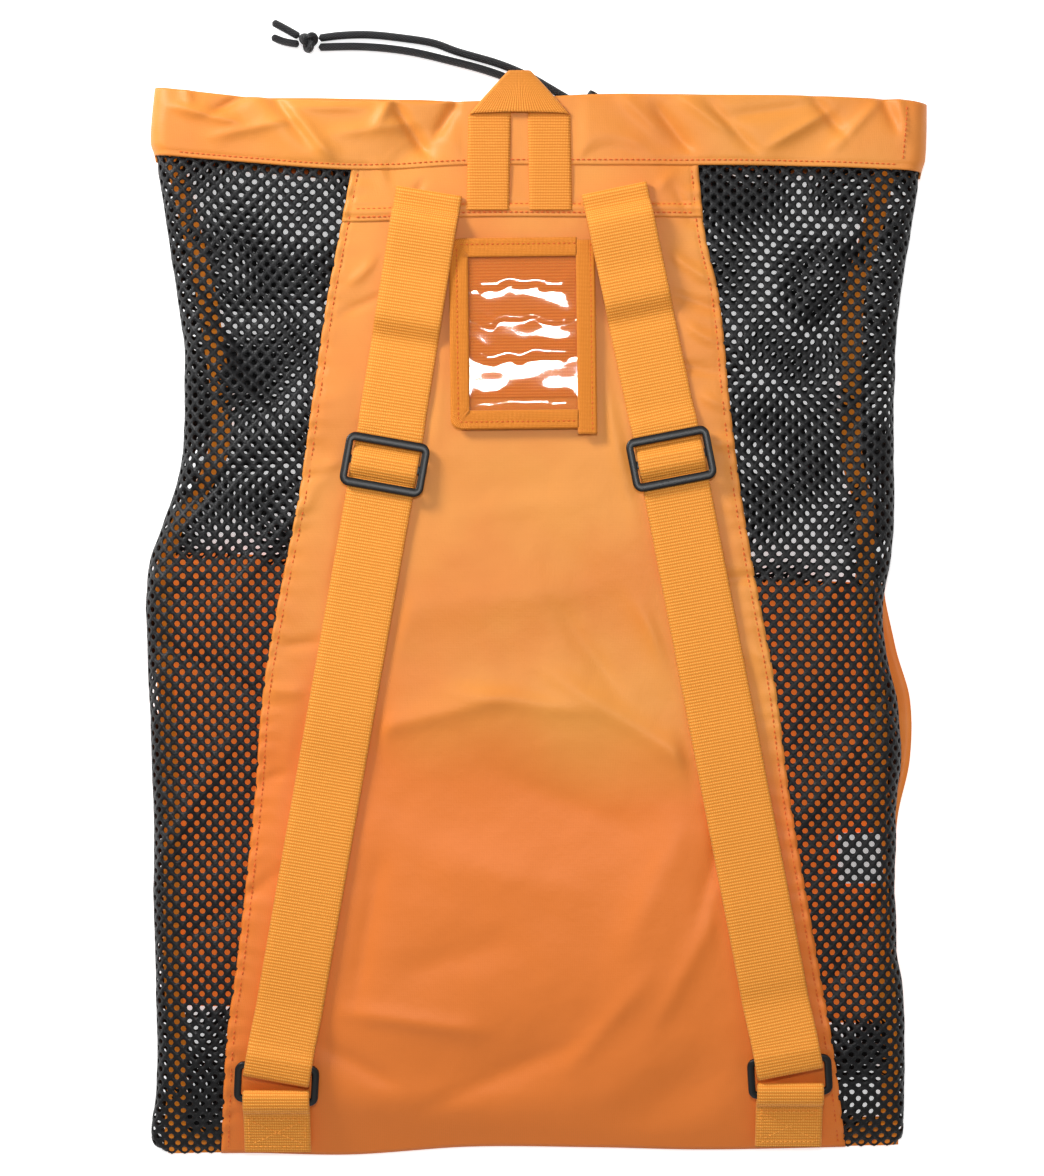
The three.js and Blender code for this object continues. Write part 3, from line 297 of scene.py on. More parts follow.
# Routes from the slits to the knot, in millimetres
cord_routes = {
    "cord_upper": [
        (43.0, 281.6, 4.5), (35.5, 285.8, 4.5), (28.0, 290.0, 4.5), (17.2, 295.9, 4.0), (6.2, 302.5, 3.2),
        (-4.6, 308.7, on_table), (-22.0, 315.9, on_table), (-44.7, 322.5, on_table),
        (-59.4, 327.7, on_table), (-77.4, 330.6, on_table), (-95.5, 332.4, on_table),
        (-111.4, 332.1, on_table), (-125.2, 330.5, on_table),
    ],
    "cord_lower": [
        (40.6, 277.0, 4.5), (33.0, 281.4, 4.5), (25.3, 285.7, 4.5), (13.2, 290.7, 4.0), (2.6, 297.1, 3.2),
        (-6.6, 302.9, on_table), (-17.9, 308.1, on_table), (-32.0, 312.9, on_table),
        (-48.7, 317.3, on_table), (-68.9, 322.1, on_table), (-85.9, 324.6, on_table),
        (-103.6, 325.7, on_table), (-125.2, 325.3, on_table),
    ],
}
tail_routes = {
    "cord_tail_upper": [(-136.2, 331.3, 2.6), (-144.6, 336.1, on_table), (-151.7, 339.8, on_table)],
    "cord_tail_lower": [(-136.2, 326.9, 2.6), (-144.8, 328.5, on_table), (-152.2, 331.3, on_table)],
}
for name, route in tail_routes.items():
    tail, _ = braided_tube(name + "_braid", route, 2.15, cord_black, step=0.7)
    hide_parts(name)

# The overhand knot: one turn of the doubled cord, pulled tight
knot_centre = np.array([-130.7, 328.2, 4.9])
turns = np.linspace(0, 2 * np.pi, 25)
knot_points = np.column_stack([
    (np.sin(turns) + 1.7 * np.sin(2 * turns)) * 1.45,
    (np.cos(turns) - 1.7 * np.cos(2 * turns)) * 1.75,
    -np.sin(3 * turns) * 2.2,
]) + knot_centre
knot, _ = braided_tube("cord_knot_braid", knot_points, 2.0, cord_black, sides=12, step=0.6)
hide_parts("cord_knot")

for name, route in cord_routes.items():
    strand, line = braided_tube(name + "_braid", route, cord_diameter / 2, cord_black)
    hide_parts(name)


# Back panel: one piece of coated nylon with a satin face, from the base seam up to the yoke. It is
# the widest at its foot, and its folded edges are sewn down on the net.
bag_width, bag_length, bag_depth = 442.0, 604.0, 28.0
half_width = bag_width / 2
foot_y = -308.87  # base line, where it doesn't stray
hem_height, yoke_height = 41.0, 28.0
base_tape_width, side_tape_width = 15.0, 12.0
hem_foot = 1 - hem_height / bag_length
yoke_foot = hem_foot - yoke_height / bag_length
pocket_foot, pocket_height, pocket_room = 78.0, 257.0, 6.4

# Outline of the lying bag from above. Columns: share of the length, left, right (shares of half the width)
outline = [
    (0.0, 0.953, 0.932), (0.009, 0.994, 0.95), (0.026, 0.999, 0.953), (0.069, 0.983, 0.954),
    (0.158, 0.983, 0.947), (0.195, 0.988, 0.93), (0.317, 0.988, 0.929), (0.374, 0.994, 0.94),
    (0.43, 0.999, 0.932), (0.477, 1.006, 0.901), (0.524, 1.009, 0.896), (0.562, 0.999, 0.914),
    (0.59, 0.971, 0.922), (0.627, 0.935, 0.924), (0.665, 0.914, 0.924), (0.759, 0.912, 0.927),
    (0.815, 0.935, 0.942), (0.871, 0.958, 0.968), (0.932, 0.986, 0.994), (0.946, 0.996, 1.004),
    (1.0, 0.986, 1.009),
]
# Edges of the panel, in the same columns
panel_edges = [
    (0.0, 0.819, 0.804), (0.115, 0.796, 0.758), (0.188, 0.768, 0.722), (0.338, 0.724, 0.651),
    (0.441, 0.701, 0.614), (0.538, 0.655, 0.565), (0.618, 0.612, 0.528), (0.712, 0.576, 0.496),
    (0.806, 0.54, 0.471), (0.866, 0.51, 0.435), (0.932, 0.477, 0.417),
]
# Middle lines of the tapes on the front's side seams
tape_lines = [
    (0.0, 0.94, 0.924), (0.111, 0.936, 0.922), (0.158, 0.948, 0.914), (0.289, 0.95, 0.895),
    (0.383, 0.96, 0.891), (0.477, 0.971, 0.879), (0.524, 0.972, 0.855), (0.562, 0.966, 0.859),
    (0.59, 0.945, 0.86), (0.613, 0.906, 0.857), (0.637, 0.86, 0.834), (0.665, 0.827, 0.82),
    (0.712, 0.819, 0.819), (0.759, 0.837, 0.822), (0.815, 0.863, 0.827), (0.871, 0.901, 0.868),
    (0.932, 0.945, 0.906),
]
# How deep the bag is, as shares of its greatest depth
depths = [
    (0.0, 0.114), (0.025, 0.34), (0.06, 0.58), (0.12, 0.81), (0.22, 0.95), (0.4, 1.0),
    (0.56, 0.99), (0.75, 0.87), (0.9, 0.74), (1.0, 0.67),
]
# How far three lines stray from straight, as shares of the hem's height: base, hem's foot, mouth
edge_lines = [
    (-1.0, -0.04, 0.18, 0.13), (-0.74, -0.03, 0.06, -0.02), (-0.48, -0.05, -0.04, -0.07),
    (-0.17, 0.06, 0.03, -0.08), (0.16, 0.05, 0.03, 0.02), (0.42, 0.02, 0.03, 0.01),
    (0.68, 0.04, 0.015, 0.0), (0.94, 0.08, -0.04, -0.06), (1.01, 0.08, -0.07, -0.11),
]
# Main folds. Columns: place across (share of half the width), place along (share of the length),
# turn in degrees, half length and half width (shares of half the width), depth (share of the depth)
main_folds = [
    (-0.4, 0.05, -12, 0.34, 0.09, 0.11), (0.02, 0.1, 14, 0.4, 0.1, -0.1),
    (0.36, 0.055, 38, 0.22, 0.08, -0.11), (-0.1, 0.41, -9, 0.42, 0.12, 0.08),
    (-0.05, 0.33, -6, 0.45, 0.16, -0.07), (0.16, 0.52, -52, 0.3, 0.08, -0.07),
    (-0.1, 0.62, 4, 0.3, 0.09, -0.06), (0.32, 0.22, 74, 0.3, 0.1, 0.08),
    (-0.78, 0.79, -62, 0.4, 0.08, -0.13), (-0.7, 0.66, 38, 0.3, 0.07, 0.1),
    (-0.86, 0.55, 20, 0.2, 0.07, -0.1), (0.72, 0.74, 56, 0.36, 0.08, -0.11),
    (0.76, 0.5, 64, 0.3, 0.07, 0.09), (-0.8, 0.3, 48, 0.34, 0.08, -0.09),
    (0.84, 0.24, 58, 0.3, 0.07, -0.09), (-0.62, 0.965, -40, 0.16, 0.06, 0.12),
    (-0.3, 0.965, 42, 0.14, 0.06, -0.12), (0.3, 0.965, -40, 0.15, 0.06, -0.11),
    (0.74, 0.965, 34, 0.2, 0.06, -0.1),
]


def smooth_column(rows, column):
    """A smooth curve through one column of a table, as a function of its first column."""
    keys = np.array([row[0] for row in rows])
    values = np.array([row[column] for row in rows])
    slopes = np.gradient(values, keys)
    slopes[1:-1] = (values[2:] - values[:-2]) / (keys[2:] - keys[:-2])

    def at(x):
        i = np.clip(np.searchsorted(keys, x, side="right") - 1, 0, len(keys) - 2)
        step = keys[i + 1] - keys[i]
        t = np.clip((x - keys[i]) / step, 0, 1)
        h = (1 - t) ** 2
        return (
            h * (1 + 2 * t) * values[i] + h * t * step * slopes[i]
            + t * t * (3 - 2 * t) * values[i + 1] + t * t * (t - 1) * step * slopes[i + 1]
        )

    return at


def ease(low, high, x):
    """0 below low, 1 over high, and smooth between them."""
    t = np.clip((x - low) / (high - low), 0, 1)
    return t * t * (3 - 2 * t)


def side_curve(rows):
    """x on the plan of a line that runs up both sides, as a function of the side, -1 or 1, and the
    share of the bag's length."""
    curves = {-1: smooth_column(rows, 1), 1: smooth_column(rows, 2)}
    return lambda side, up: side * half_width * curves[side](up)


edge_x, panel_x, tape_x = (side_curve(rows) for rows in (outline, panel_edges, tape_lines))
depth_at = smooth_column(depths, 1)
base_line, foot_line, mouth_line = (smooth_column(edge_lines, k) for k in (1, 2, 3))


def level(x, up):
    """Height on the plan of a point of the cloth at a share of the bag's length."""
    across = x / half_width
    near_base = np.clip(1 - up / 0.15, 0, 1)
    in_hem = np.clip((up - hem_foot) / (1 - hem_foot), 0, 1)
    near_hem = np.where(up < hem_foot, ease(0.6, hem_foot, up), 1 - in_hem)
    return foot_y + up * bag_length + hem_height * (
        near_base * base_line(across) + near_hem * foot_line(across) + in_hem * mouth_line(across)
    )


def up_at(x, y):
    """Share of the bag's length at a place on the plan."""
    up = (y - foot_y) / bag_length
    for _ in range(4):
        up = up + (y - level(x, up)) / bag_length
    return up


def pocket_foot_up(x):
    """Share of the bag's length at the pocket's lower seam, which falls away to the right."""
    return (pocket_foot - x * 0.028) / bag_length


def pocket_top_up(x):
    """Share of the bag's length at the pocket's mouth, which falls away more."""
    return (pocket_foot + pocket_height - x * 0.046) / bag_length


def front_level(x, up):
    """Height of the front wall over the table: it lies on the pocket where that is under it."""
    above = (up - pocket_foot_up(x)) * bag_length
    past = (up - pocket_top_up(x)) * bag_length
    return 1.7 * ease(-26, 2, above) * (1 - ease(0, 34, past))


def fold_radius(x, up):
    """Radius of the fold that the cloth makes round the bag's side."""
    return (bag_depth * depth_at(up) - front_level(x, up)) / 2


def front_lift(x, up):
    """How far the pocket's room and the cord lock lift the front wall."""
    from_seam = np.minimum(x - tape_x(-1, up), tape_x(1, up) - x) - side_tape_width / 2 - 1
    room = (pocket_room - 0.1) * ease(0, 42, from_seam)
    opening = ease(2, 46, (up - pocket_foot_up(x)) * bag_length)
    closing = 1 - ease(4, 84, (up - pocket_top_up(x)) * bag_length)
    far = (x - 26.7) ** 2 + (level(x, up) - 287.9) ** 2
    return room * opening * closing + 11.2 * np.exp(-far / (2 * 26**2))


def in_fold(dx, dy, turn, long, wide):
    """Places along and across a fold, as shares of its half length and half width."""
    c, s = math.cos(math.radians(turn)), math.sin(math.radians(turn))
    return (dx * c + dy * s) / long, (dy * c - dx * s) / wide


def main_crease(x, up):
    """Height of the main folds over the back."""
    from_side = np.minimum(x - edge_x(-1, up), edge_x(1, up) - x) - fold_radius(x, up)
    total = np.zeros_like(x * up)
    for across, along, turn, long, wide, deep in main_folds:
        dx, dy = x - across * half_width, (up - along) * bag_length
        u, v = in_fold(dx, dy, turn, long * half_width, wide * half_width)
        total = total + deep * bag_depth * np.exp(-u * u - v * v)
    return ease(0, 22, from_side) * ease(0, 0.06, up) * total


def noise_at(x, y, size, seed):
    """Smooth noise, about -1 to 1, at a size in millimetres."""
    x, y = np.broadcast_arrays(np.asarray(x, dtype=float), np.asarray(y, dtype=float))
    flat = [noise.noise((a / size, b / size, seed)) for a, b in zip(x.ravel(), y.ravel())]
    return np.array(flat).reshape(x.shape)


# Smaller folds of the back. Columns: x, y, turn in degrees, half length, half width, height, all in
# millimetres; a row below zero is a valley
small_folds = [
    # panel, from its middle down
    (-96, -40, 58, 44, 7, 1.8), (-60, -58, 14, 46, 8, 2.4), (-10, -50, -8, 40, 7, 2.2),
    (52, -62, -32, 52, 8, 2.8), (84, -86, -46, 22, 7, 1.4), (30, -22, -54, 34, 7, -1.8),
    (70, -18, -60, 30, 6, 1.9), (98, -60, -66, 34, 6, -2.0), (-20, 8, 6, 60, 13, 1.4),
    (-118, -128, 72, 52, 8, 1.6), (-96, -180, 80, 44, 8, -1.9), (-70, -232, -8, 38, 7, 2.4),
    (-104, -256, -30, 26, 7, -2.2), (-20, -264, 24, 46, 9, -1.9), (40, -234, 50, 34, 8, 1.9),
    (88, -196, 62, 46, 8, 2.1), (104, -130, 74, 44, 7, -1.9), (66, -158, 66, 42, 11, 1.6),
    (-20, -148, -14, 48, 15, 1.6), (-46, -196, 16, 36, 12, -1.6), (-66, 96, 76, 50, 8, 1.4),
    (50, 90, -76, 50, 7, 1.5), (-104, 62, 78, 60, 6, -1.3), (96, 46, -70, 52, 6, -1.3),
    (-138, -80, 78, 40, 6, 1.3), (138, -150, -78, 44, 6, 1.4), (128, -60, -72, 40, 6, -1.5),
    (-6, 62, 4, 44, 12, 1.1), (14, -106, -22, 50, 13, -1.4),
    # short puckers along the panel's edges
    (88, 196, -34, 18, 3.2, 2.4), (93, 176, -22, 18, 3, -1.9), (94, 158, -30, 19, 3.2, 2.3),
    (97, 138, -12, 18, 3, -1.9), (100, 120, -24, 18, 3.6, 2.1), (102, 96, 4, 18, 4, 1.8),
    (108, 60, -16, 18, 4, 1.7), (116, 20, 8, 18, 4, -1.7), (124, -24, -20, 18, 4, 1.7),
    (-96, 196, 40, 14, 3.4, 1.8), (-98, 176, 24, 14, 3, -1.5), (-118, 84, 12, 14, 3.6, 1.2),
    (-136, -18, 8, 14, 3.4, -1.5), (-140, -44, -6, 14, 4, 1.6), (-146, -92, 10, 13, 4, -1.4),
    # yoke
    (-84, 246, -50, 14, 4, 1.6), (-70, 236, 62, 12, 3, -1.4), (66, 240, 40, 16, 4, 1.5),
    (84, 232, -62, 12, 3, -1.3), (22, 244, -20, 14, 4, 0.9), (-40, 242, 70, 10, 3, 1.0),
    # net on the left
    (-192, 190, -58, 50, 6, -3.2), (-168, 130, -50, 46, 6, 2.8), (-186, 70, 30, 34, 6, -3.0),
    (-150, 40, 52, 44, 6, 2.6), (-204, 20, 12, 26, 6, 2.4), (-188, -30, -28, 40, 6, -2.4),
    (-196, -110, 60, 50, 6, 2.6), (-178, -170, 36, 40, 6, -2.2), (-192, -250, 70, 34, 6, 2.2),
    (-140, 212, -48, 34, 6, 1.8), (-146, 170, -56, 46, 6, -1.8),
    # net on the right
    (168, 200, 58, 48, 6, 3.0), (190, 130, 66, 50, 6, -2.8), (150, 96, 52, 46, 6, -2.4),
    (176, 30, 62, 44, 6, 2.8), (196, -40, 74, 40, 6, -2.2), (170, -90, 54, 44, 6, 2.4),
    (186, -180, 60, 48, 6, -2.6), (178, -250, 66, 34, 6, 2.0), (128, 170, 60, 40, 6, 1.6),
]
strap_lines = {
    "left": ((-61.0, 239.6), (-86.0, 83.7), (-147.6, -266.4)),
    "right": ((44.0, 240.2), (76.2, 86.7), (143.9, -263.7)),
}


def fold_heights(rows, x, y):
    """Sum of small folds, each with a soft crest."""
    total = np.zeros_like(np.asarray(x, dtype=float))
    for fold_x, fold_y, turn, long, wide, high in rows:
        u, v = in_fold(x - fold_x, y - fold_y, turn, long, wide)
        total = total + high * np.exp(-(u**4)) / (1 + v * v) ** 1.5
    return total


def under_hardware(x, y):
    """1 under a strap, the window or the handle, 0 well away from them."""
    near = np.zeros_like(np.asarray(x, dtype=float))
    for points in strap_lines.values():
        for (x0, y0), (x1, y1) in zip(points[:-1], points[1:]):
            t = ((x - x0) * (x1 - x0) + (y - y0) * (y1 - y0)) / ((x1 - x0) ** 2 + (y1 - y0) ** 2)
            t = np.clip(t, -0.02, 1.1)
            far = np.hypot(x - x0 - t * (x1 - x0), y - y0 - t * (y1 - y0))
            near = np.maximum(near, 1 - ease(21, 30, far))
    in_window = (1 - ease(42, 52, np.abs(x + 8))) * (1 - ease(58, 68, np.abs(y - 157)))
    in_handle = (1 - ease(31, 40, np.abs(x + 9.7))) * ease(212, 224, y)
    return np.maximum(near, np.maximum(in_window, in_handle))


def small_relief(x, y, folds=small_folds):
    """Height of the smaller folds, which never rise into what lies on them."""
    extra = fold_heights(folds, x, y) + 0.5 * noise_at(x, y, 34, 3.1) + 0.22 * noise_at(x, y, 13, 7.7)
    return extra - under_hardware(x, y) * np.maximum(extra, 0)


def back_top(x, up, sink=0.0, folds=small_folds):
    """Points of the back's outer face, or of a place that lies sink under it."""
    side = np.where(x < (edge_x(-1, up) + edge_x(1, up)) / 2, -1, 1)
    inset = np.where(side < 0, x - edge_x(-1, up), edge_x(1, up) - x)
    r = fold_radius(x, up)
    arc = np.where(inset < r, r - np.sqrt(np.maximum(r * r - (r - inset) ** 2, 0)), 0)
    y = level(x, up)
    extra = small_relief(x, y, folds) * ease(0, 0.05, up)
    return np.column_stack([x, y, bag_depth * depth_at(up) - arc + main_crease(x, up) + extra - sink])


def coated_nylon(name, light, deep, gloss=0.4, painted_glow=0.0, foot=None):
    """Coated nylon: two near oranges in broad patches, with the fine squares of its weave. Its emission is
    a painted glow, a little light of its own which stands in for how bright the cloth looks through the
    net's
    holes, and foot is painted shade: a deeper orange for its lower part, which stands in for the light
    falling off there."""
    material, shader = plain_material(name, light, gloss)
    where = object_place(material)
    patches = ranged(material, cloud(material, where, 11.0), 0.38, 0.62)
    weft = wave(material, cloth_place(material), 0.95 * mm, "X")
    warp = wave(material, cloth_place(material), 0.95 * mm, "Y")
    weave = combine(material, weft, warp, "MULTIPLY")
    toned = blended(material, patches, deep, light)
    # Painted shade: the cloth's lower part is blended towards the deeper foot colour.
    if foot:
        height = node(material, "ShaderNodeSeparateXYZ", {"Vector": where}).outputs["Y"]
        bend = combine(material, cloud(material, where, 6.0, 1.0), 0.14, "MULTIPLY")
        lower = ranged(material, combine(material, height, bend, "ADD"), 0.03, -0.02)
        toned = blended(material, lower, toned, foot)
    dark = tuple(0.8 * c for c in deep[:3]) + (1.0,)
    paint(material, shader, blended(material, combine(material, weave, 0.22, "MULTIPLY"), toned, dark))
    bump(material, shader, cloud(material, where, 130.0, 4.0, 0.6), 0.3, 0.9 * mm)
    bump(material, shader, weave, 0.3, 0.12 * mm)
    shader.inputs["Specular IOR Level"].default_value = 0.38
    shader.inputs["Sheen Weight"].default_value = 0.06
    shader.inputs["Sheen Roughness"].default_value = 0.35
    shader.inputs["Sheen Tint"].default_value = (1.0, 0.8, 0.55, 1)
    # Painted glow: the cloth gives off a little light of its own colour.
    shader.inputs["Emission Color"].default_value = light
    shader.inputs["Emission Strength"].default_value = painted_glow
    return material


# The foot colour is painted shade, a deeper orange over the panel's lower part.
back_nylon = coated_nylon(
    "back_nylon", srgb(230, 148, 62), srgb(224, 132, 50), gloss=0.5, foot=srgb(232, 124, 44)
)


panel_lift = 0.35  # how far the panel lies over the net


def panel_place(low, high):
    """Where a piece between the panel's edges lies, from one share of the bag's length to another."""

    def place(a, b):
        up = low + (high - low) * b
        left, right = panel_x(-1, up), panel_x(1, up)
        x = left + (right - left) * a
        edge = np.minimum(x - left, right - x)
        points = back_top(x, up)
        y = points[:, 1]
        pucker = 0.75 * np.exp(-edge / 6) * np.sin(y / 1.9 + 3 * noise_at(x, y, 18, 5.0))
        seam = 0.5 * np.exp(-(((edge - 4.0) / 1.0) ** 2))
        points[:, 2] += panel_lift + pucker - seam - 0.5 * np.exp(-((edge / 0.7) ** 2))
        return points

    return place


back_panel = woven(
    "back_panel_cloth", 150, 235, panel_place(0.0, yoke_foot), (300, 535), back_nylon, wall=0.6
)
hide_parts("back_panel")


# Yoke: a short strip of the same nylon under the hem, over the seam that holds the straps and the
# handle. Two rows of stitches hold it down, and each is drawn into the cloth.
def yoke_place(a, b):
    """It overlaps the panel a little, with a ridge where the seam's allowance lies under it."""
    points = panel_place(yoke_foot - 0.003, hem_foot + 0.012)(a, b)
    from_seam = b * (yoke_height + 9) - 2
    first_row = 0.5 * np.exp(-(((from_seam - 0.9) / 0.7) ** 2))
    second_row = 0.7 * np.exp(-(((from_seam - 6.2) / 0.9) ** 2))
    points[:, 2] += 0.5 + 0.9 * np.exp(-(((from_seam - 3.5) / 3) ** 2)) - 0.5 * ease(8, 26, from_seam)
    points[:, 2] -= first_row + second_row
    points[:, 2] -= 1.6 * ease(yoke_height + 0.5, yoke_height + 3, from_seam)
    return points


yoke = woven("yoke_cloth", 150, 26, yoke_place, (205, 37), back_nylon, wall=0.6)
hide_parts("yoke")


# Hem: a doubled strip of nylon round the mouth, which holds the drawcord. It is joined on the right.
hem_folds = [
    (-200, 300, -70, 10, 3, 2.3), (-188, 284, -14, 20, 4, 3.4), (-172, 292, 30, 16, 4, -3.4),
    (-162, 276, 12, 22, 4, 2.1), (-142, 284, -52, 22, 5, -4.7), (-126, 270, -50, 26, 4, 3.4),
    (-118, 288, 0, 20, 4, 2.3), (-92, 276, 8, 24, 5, 2.1), (-84, 290, 60, 14, 4, 3.1),
    (-72, 276, -56, 22, 4, -4.7), (-50, 284, 58, 16, 4, -4.0), (-40, 290, -14, 20, 4, 2.0),
    (60, 284, -44, 18, 5, 2.1), (78, 276, -52, 18, 4, -3.4), (96, 284, -36, 18, 4, 2.6),
    (112, 276, -46, 22, 4, -2.8), (132, 286, 8, 22, 5, -2.2), (150, 276, 30, 20, 4, 2.6),
    (166, 284, -50, 16, 4, -3.1), (182, 278, 46, 20, 4, 2.5), (200, 288, -66, 14, 4, -3.4),
    (208, 284, -80, 14, 3, 2.1), (30, 262, 10, 30, 6, 1.0),
]


def side_fold(side, run, up, sink=0.0, folds=small_folds):
    """Points of the bag's skin by their distance round the side fold: below zero on the back, over zero
    on the front. sink is how deep under the outer face they lie."""
    edge = edge_x(side, up)
    r = fold_radius(edge, up)
    turn = np.clip(run / r, -np.pi / 2, np.pi / 2)
    past = np.maximum(np.abs(run) - r * np.pi / 2, 0)
    x = edge - side * (r - (r - sink) * np.cos(turn) + past)
    y = level(x, up)
    calm = ease(0, 14, -run) * ease(0, 0.05, up)
    fold = np.where(run < 0, main_crease(x, up) + calm * small_relief(x, y, folds), front_lift(x, up))
    z = front_level(edge, up) + r - (r - sink) * np.sin(turn) + fold
    return np.column_stack([x, y, np.maximum(z, np.where(np.asarray(sink) < 0, 0.1, 0.85))])


def hem_swell(share):
    """The hem swells between its two edges, and is drawn in along its stitches. share is the part of
    its height."""
    share = np.clip(share, 0, 1)
    return 1.4 * np.sin(np.pi * share) ** 0.6 - 0.7 * np.exp(-(((share - 0.075) / 0.022) ** 2))


def hem_top(x, up):
    """The hem's back layer: at its foot it follows the cloth that it is sewn to, and higher up it has
    folds of its own."""
    share = np.clip((up - hem_foot) / (1 - hem_foot), 0, 1)
    own = ease(0.02, 0.3, share)
    points = back_top(x, up, -0.5, hem_folds)
    points[:, 2] = points[:, 2] * own + back_top(x, up, -0.5)[:, 2] * (1 - own)
    points[:, 2] += 0.5 + hem_swell(share) * (1 - under_hardware(points[:, 0], points[:, 1]))
    return points


def hem_place(a, b):
    """The back half runs from the left side to the right one, the front half comes back under it."""
    on_back = a < 0.5
    share = np.where(on_back, a * 2, (a - 0.5) * 2)
    side = np.where(on_back == (share < 0.5), -1, 1)
    low = hem_foot - np.where(on_back, 0.0, 0.005)
    up = low + (1 - low) * b
    near = np.minimum(share, 1 - share)
    points = np.zeros((len(a), 3))
    for this_side in (-1, 1):
        r = fold_radius(edge_x(this_side, up), up)
        run = near / 0.06 * (r * np.pi / 2) * np.where(on_back, -1, 1)
        here = (near < 0.06) & (side == this_side)
        points = np.where(here[:, None], side_fold(this_side, run, up, -0.5, hem_folds), points)
    left = edge_x(-1, up) + fold_radius(edge_x(-1, up), up)
    right = edge_x(1, up) - fold_radius(edge_x(1, up), up)
    t = (share - 0.06) / 0.88
    x = np.where(on_back, left + (right - left) * t, right + (left - right) * t)
    top = hem_top(x, up)
    reach = 3.6 * ease(-216, -120, x) * (1 - ease(-70, -10, x)) * b**3
    under = np.column_stack([x, level(x, up) + reach, front_level(x, up) + front_lift(x, up) + 0.1])
    points = np.where(((near >= 0.06) & on_back)[:, None], top, points)
    points = np.where(((near >= 0.06) & ~on_back)[:, None], under, points)
    points[:, 2] += (hem_swell(b) + 0.5) * (on_back & (near < 0.06))
    return points


hem = woven("hem_cloth", 560, 30, hem_place, (884, 41), back_nylon, wall=1.0, closed=True)
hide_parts("hem")


# Net: black knitted polyester with staggered round holes. The back's two pieces run from the panel
# round the sides of the bag to the front's tapes, and the front has one over and one under the pocket.
hole_pitch, row_pitch, hole_width = 7.4, 3.9, 3.35
net_black, net_shader = plain_material("knitted_net", srgb(16, 16, 17), 0.45)
net_shader.inputs["Specular IOR Level"].default_value = 0.3
knit = cloud(net_black, object_place(net_black), 900.0, 2.0)
paint(net_black, net_shader, blended(net_black, knit, srgb(9, 9, 10), srgb(24, 24, 26)))
bump(net_black, net_shader, knit, 0.8, 0.5 * mm)


def knitted_net(name, s_range, t_range, keep, place, flip=False):
    """A net with a real opening in each cell. s and t are millimetres across and along the flat net."""
    cells = int((s_range[1] - s_range[0]) / hole_pitch + (t_range[1] - t_range[0]) / (2 * row_pitch)) + 4
    bm = bmesh.new()
    bmesh.ops.create_grid(bm, x_segments=2 * cells, y_segments=2 * cells, size=cells / 2)
    s_middle, t_middle = sum(s_range) / 2, sum(t_range) / 2
    middles = []
    for vert in bm.verts:
        p, q = vert.co.x, vert.co.y
        if abs((p + cells / 2) % 1 - 0.5) < 0.1 and abs((q + cells / 2) % 1 - 0.5) < 0.1:
            middles.append(vert)
        vert.co = ((p + q) * hole_pitch / 2 + s_middle, (p - q) * row_pitch + t_middle, 0)
    # Four small faces make each diamond. Those that are off the net go, and the rest become one face
    wanted = keep(np.array([v.co.x for v in middles]), np.array([v.co.y for v in middles]))
    outside = {face for vert, stays in zip(middles, wanted) if not stays for face in vert.link_faces}
    bmesh.ops.delete(bm, geom=list(outside), context="FACES")
    bmesh.ops.dissolve_verts(bm, verts=[vert for vert in middles if vert.is_valid])
    holes = list(bm.faces)
    bmesh.ops.inset_individual(bm, faces=holes, thickness=0.6)
    for face in holes:
        middle = face.calc_center_median()
        for vert in face.verts:
            vert.co = middle + (vert.co - middle).normalized() * hole_width / 2
    bmesh.ops.delete(bm, geom=holes, context="FACES_ONLY")
    points = place(np.array([v.co.x for v in bm.verts]), np.array([v.co.y for v in bm.verts]))
    for vert, point in zip(bm.verts, points * mm):
        vert.co = point
    if flip:
        bmesh.ops.reverse_faces(bm, faces=bm.faces)
    return finish_piece(name, bm, net_black, wall=0.8)


def tape_run(side, up):
    """Distance of a tape's middle line round the side fold."""
    edge = edge_x(side, up)
    inset = np.abs(edge - tape_x(side, up))
    r = fold_radius(edge, up)
    run = np.where(inset < r, r * np.arccos(np.clip(1 - inset / r, -1, 1)), r * np.pi / 2 + inset - r)
    return np.maximum(run, side_tape_width / 2 + np.minimum(1.6 * r, 3))


def net_run(side, s, up):
    """Distance round the side fold of a place on the flat net, whose grain stays straight on the plan."""
    edge = edge_x(side, up)
    r = fold_radius(edge, up)
    return s - np.abs(edge) - (r * np.pi / 2 - r)


def side_net_place(side):
    """Where a side's net lies: under the panel's edge, round the side fold and up into the hem."""

    def place(s, t):
        up = np.clip((t + 1.0 * noise_at(s, t, 52, 17.0 + side)) / bag_length, 0, 1)
        run = net_run(side, s + 2.2 * noise_at(s, t, 60, 11.0 + side), up)
        under_panel = 1 - ease(0, 7, s - np.abs(panel_x(side, up)))
        wobble = 0.8 * noise_at(s, t, 24, 23.0 + side) + 0.35 * noise_at(s, t, 11, 29.0 + side)
        in_hem = ease(-12, 2, t - hem_foot * bag_length)
        sink = 0.8 - wobble * (1 - under_panel) * (1 - in_hem) + 0.6 * under_panel + 1.2 * in_hem
        return side_fold(side, run, up, sink)

    return place


def side_net_keep(side):
    """Which cells belong to a side's net: from the panel's edge to the front's tape."""

    def keep(s, t):
        up = np.clip(t / bag_length, 0, 1)
        return (
            (s > np.abs(panel_x(side, up)) - 6) & (net_run(side, s, up) < tape_run(side, up) + 1)
            & (t > 0) & (t < hem_foot * bag_length + 8)
        )

    return keep


for side, name in ((-1, "net_left"), (1, "net_right")):
    side_net = knitted_net(
        name + "_knit", (80, 330), (0, 575), side_net_keep(side), side_net_place(side), flip=side < 0
    )
    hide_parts(name)


def front_place(x, up, rise):
    """Points that lie rise over the front wall's outer face, inside the bag."""
    z = front_level(x, up) + front_lift(x, up) + rise
    return np.column_stack([x, level(x, up), np.maximum(z, 0.1)])


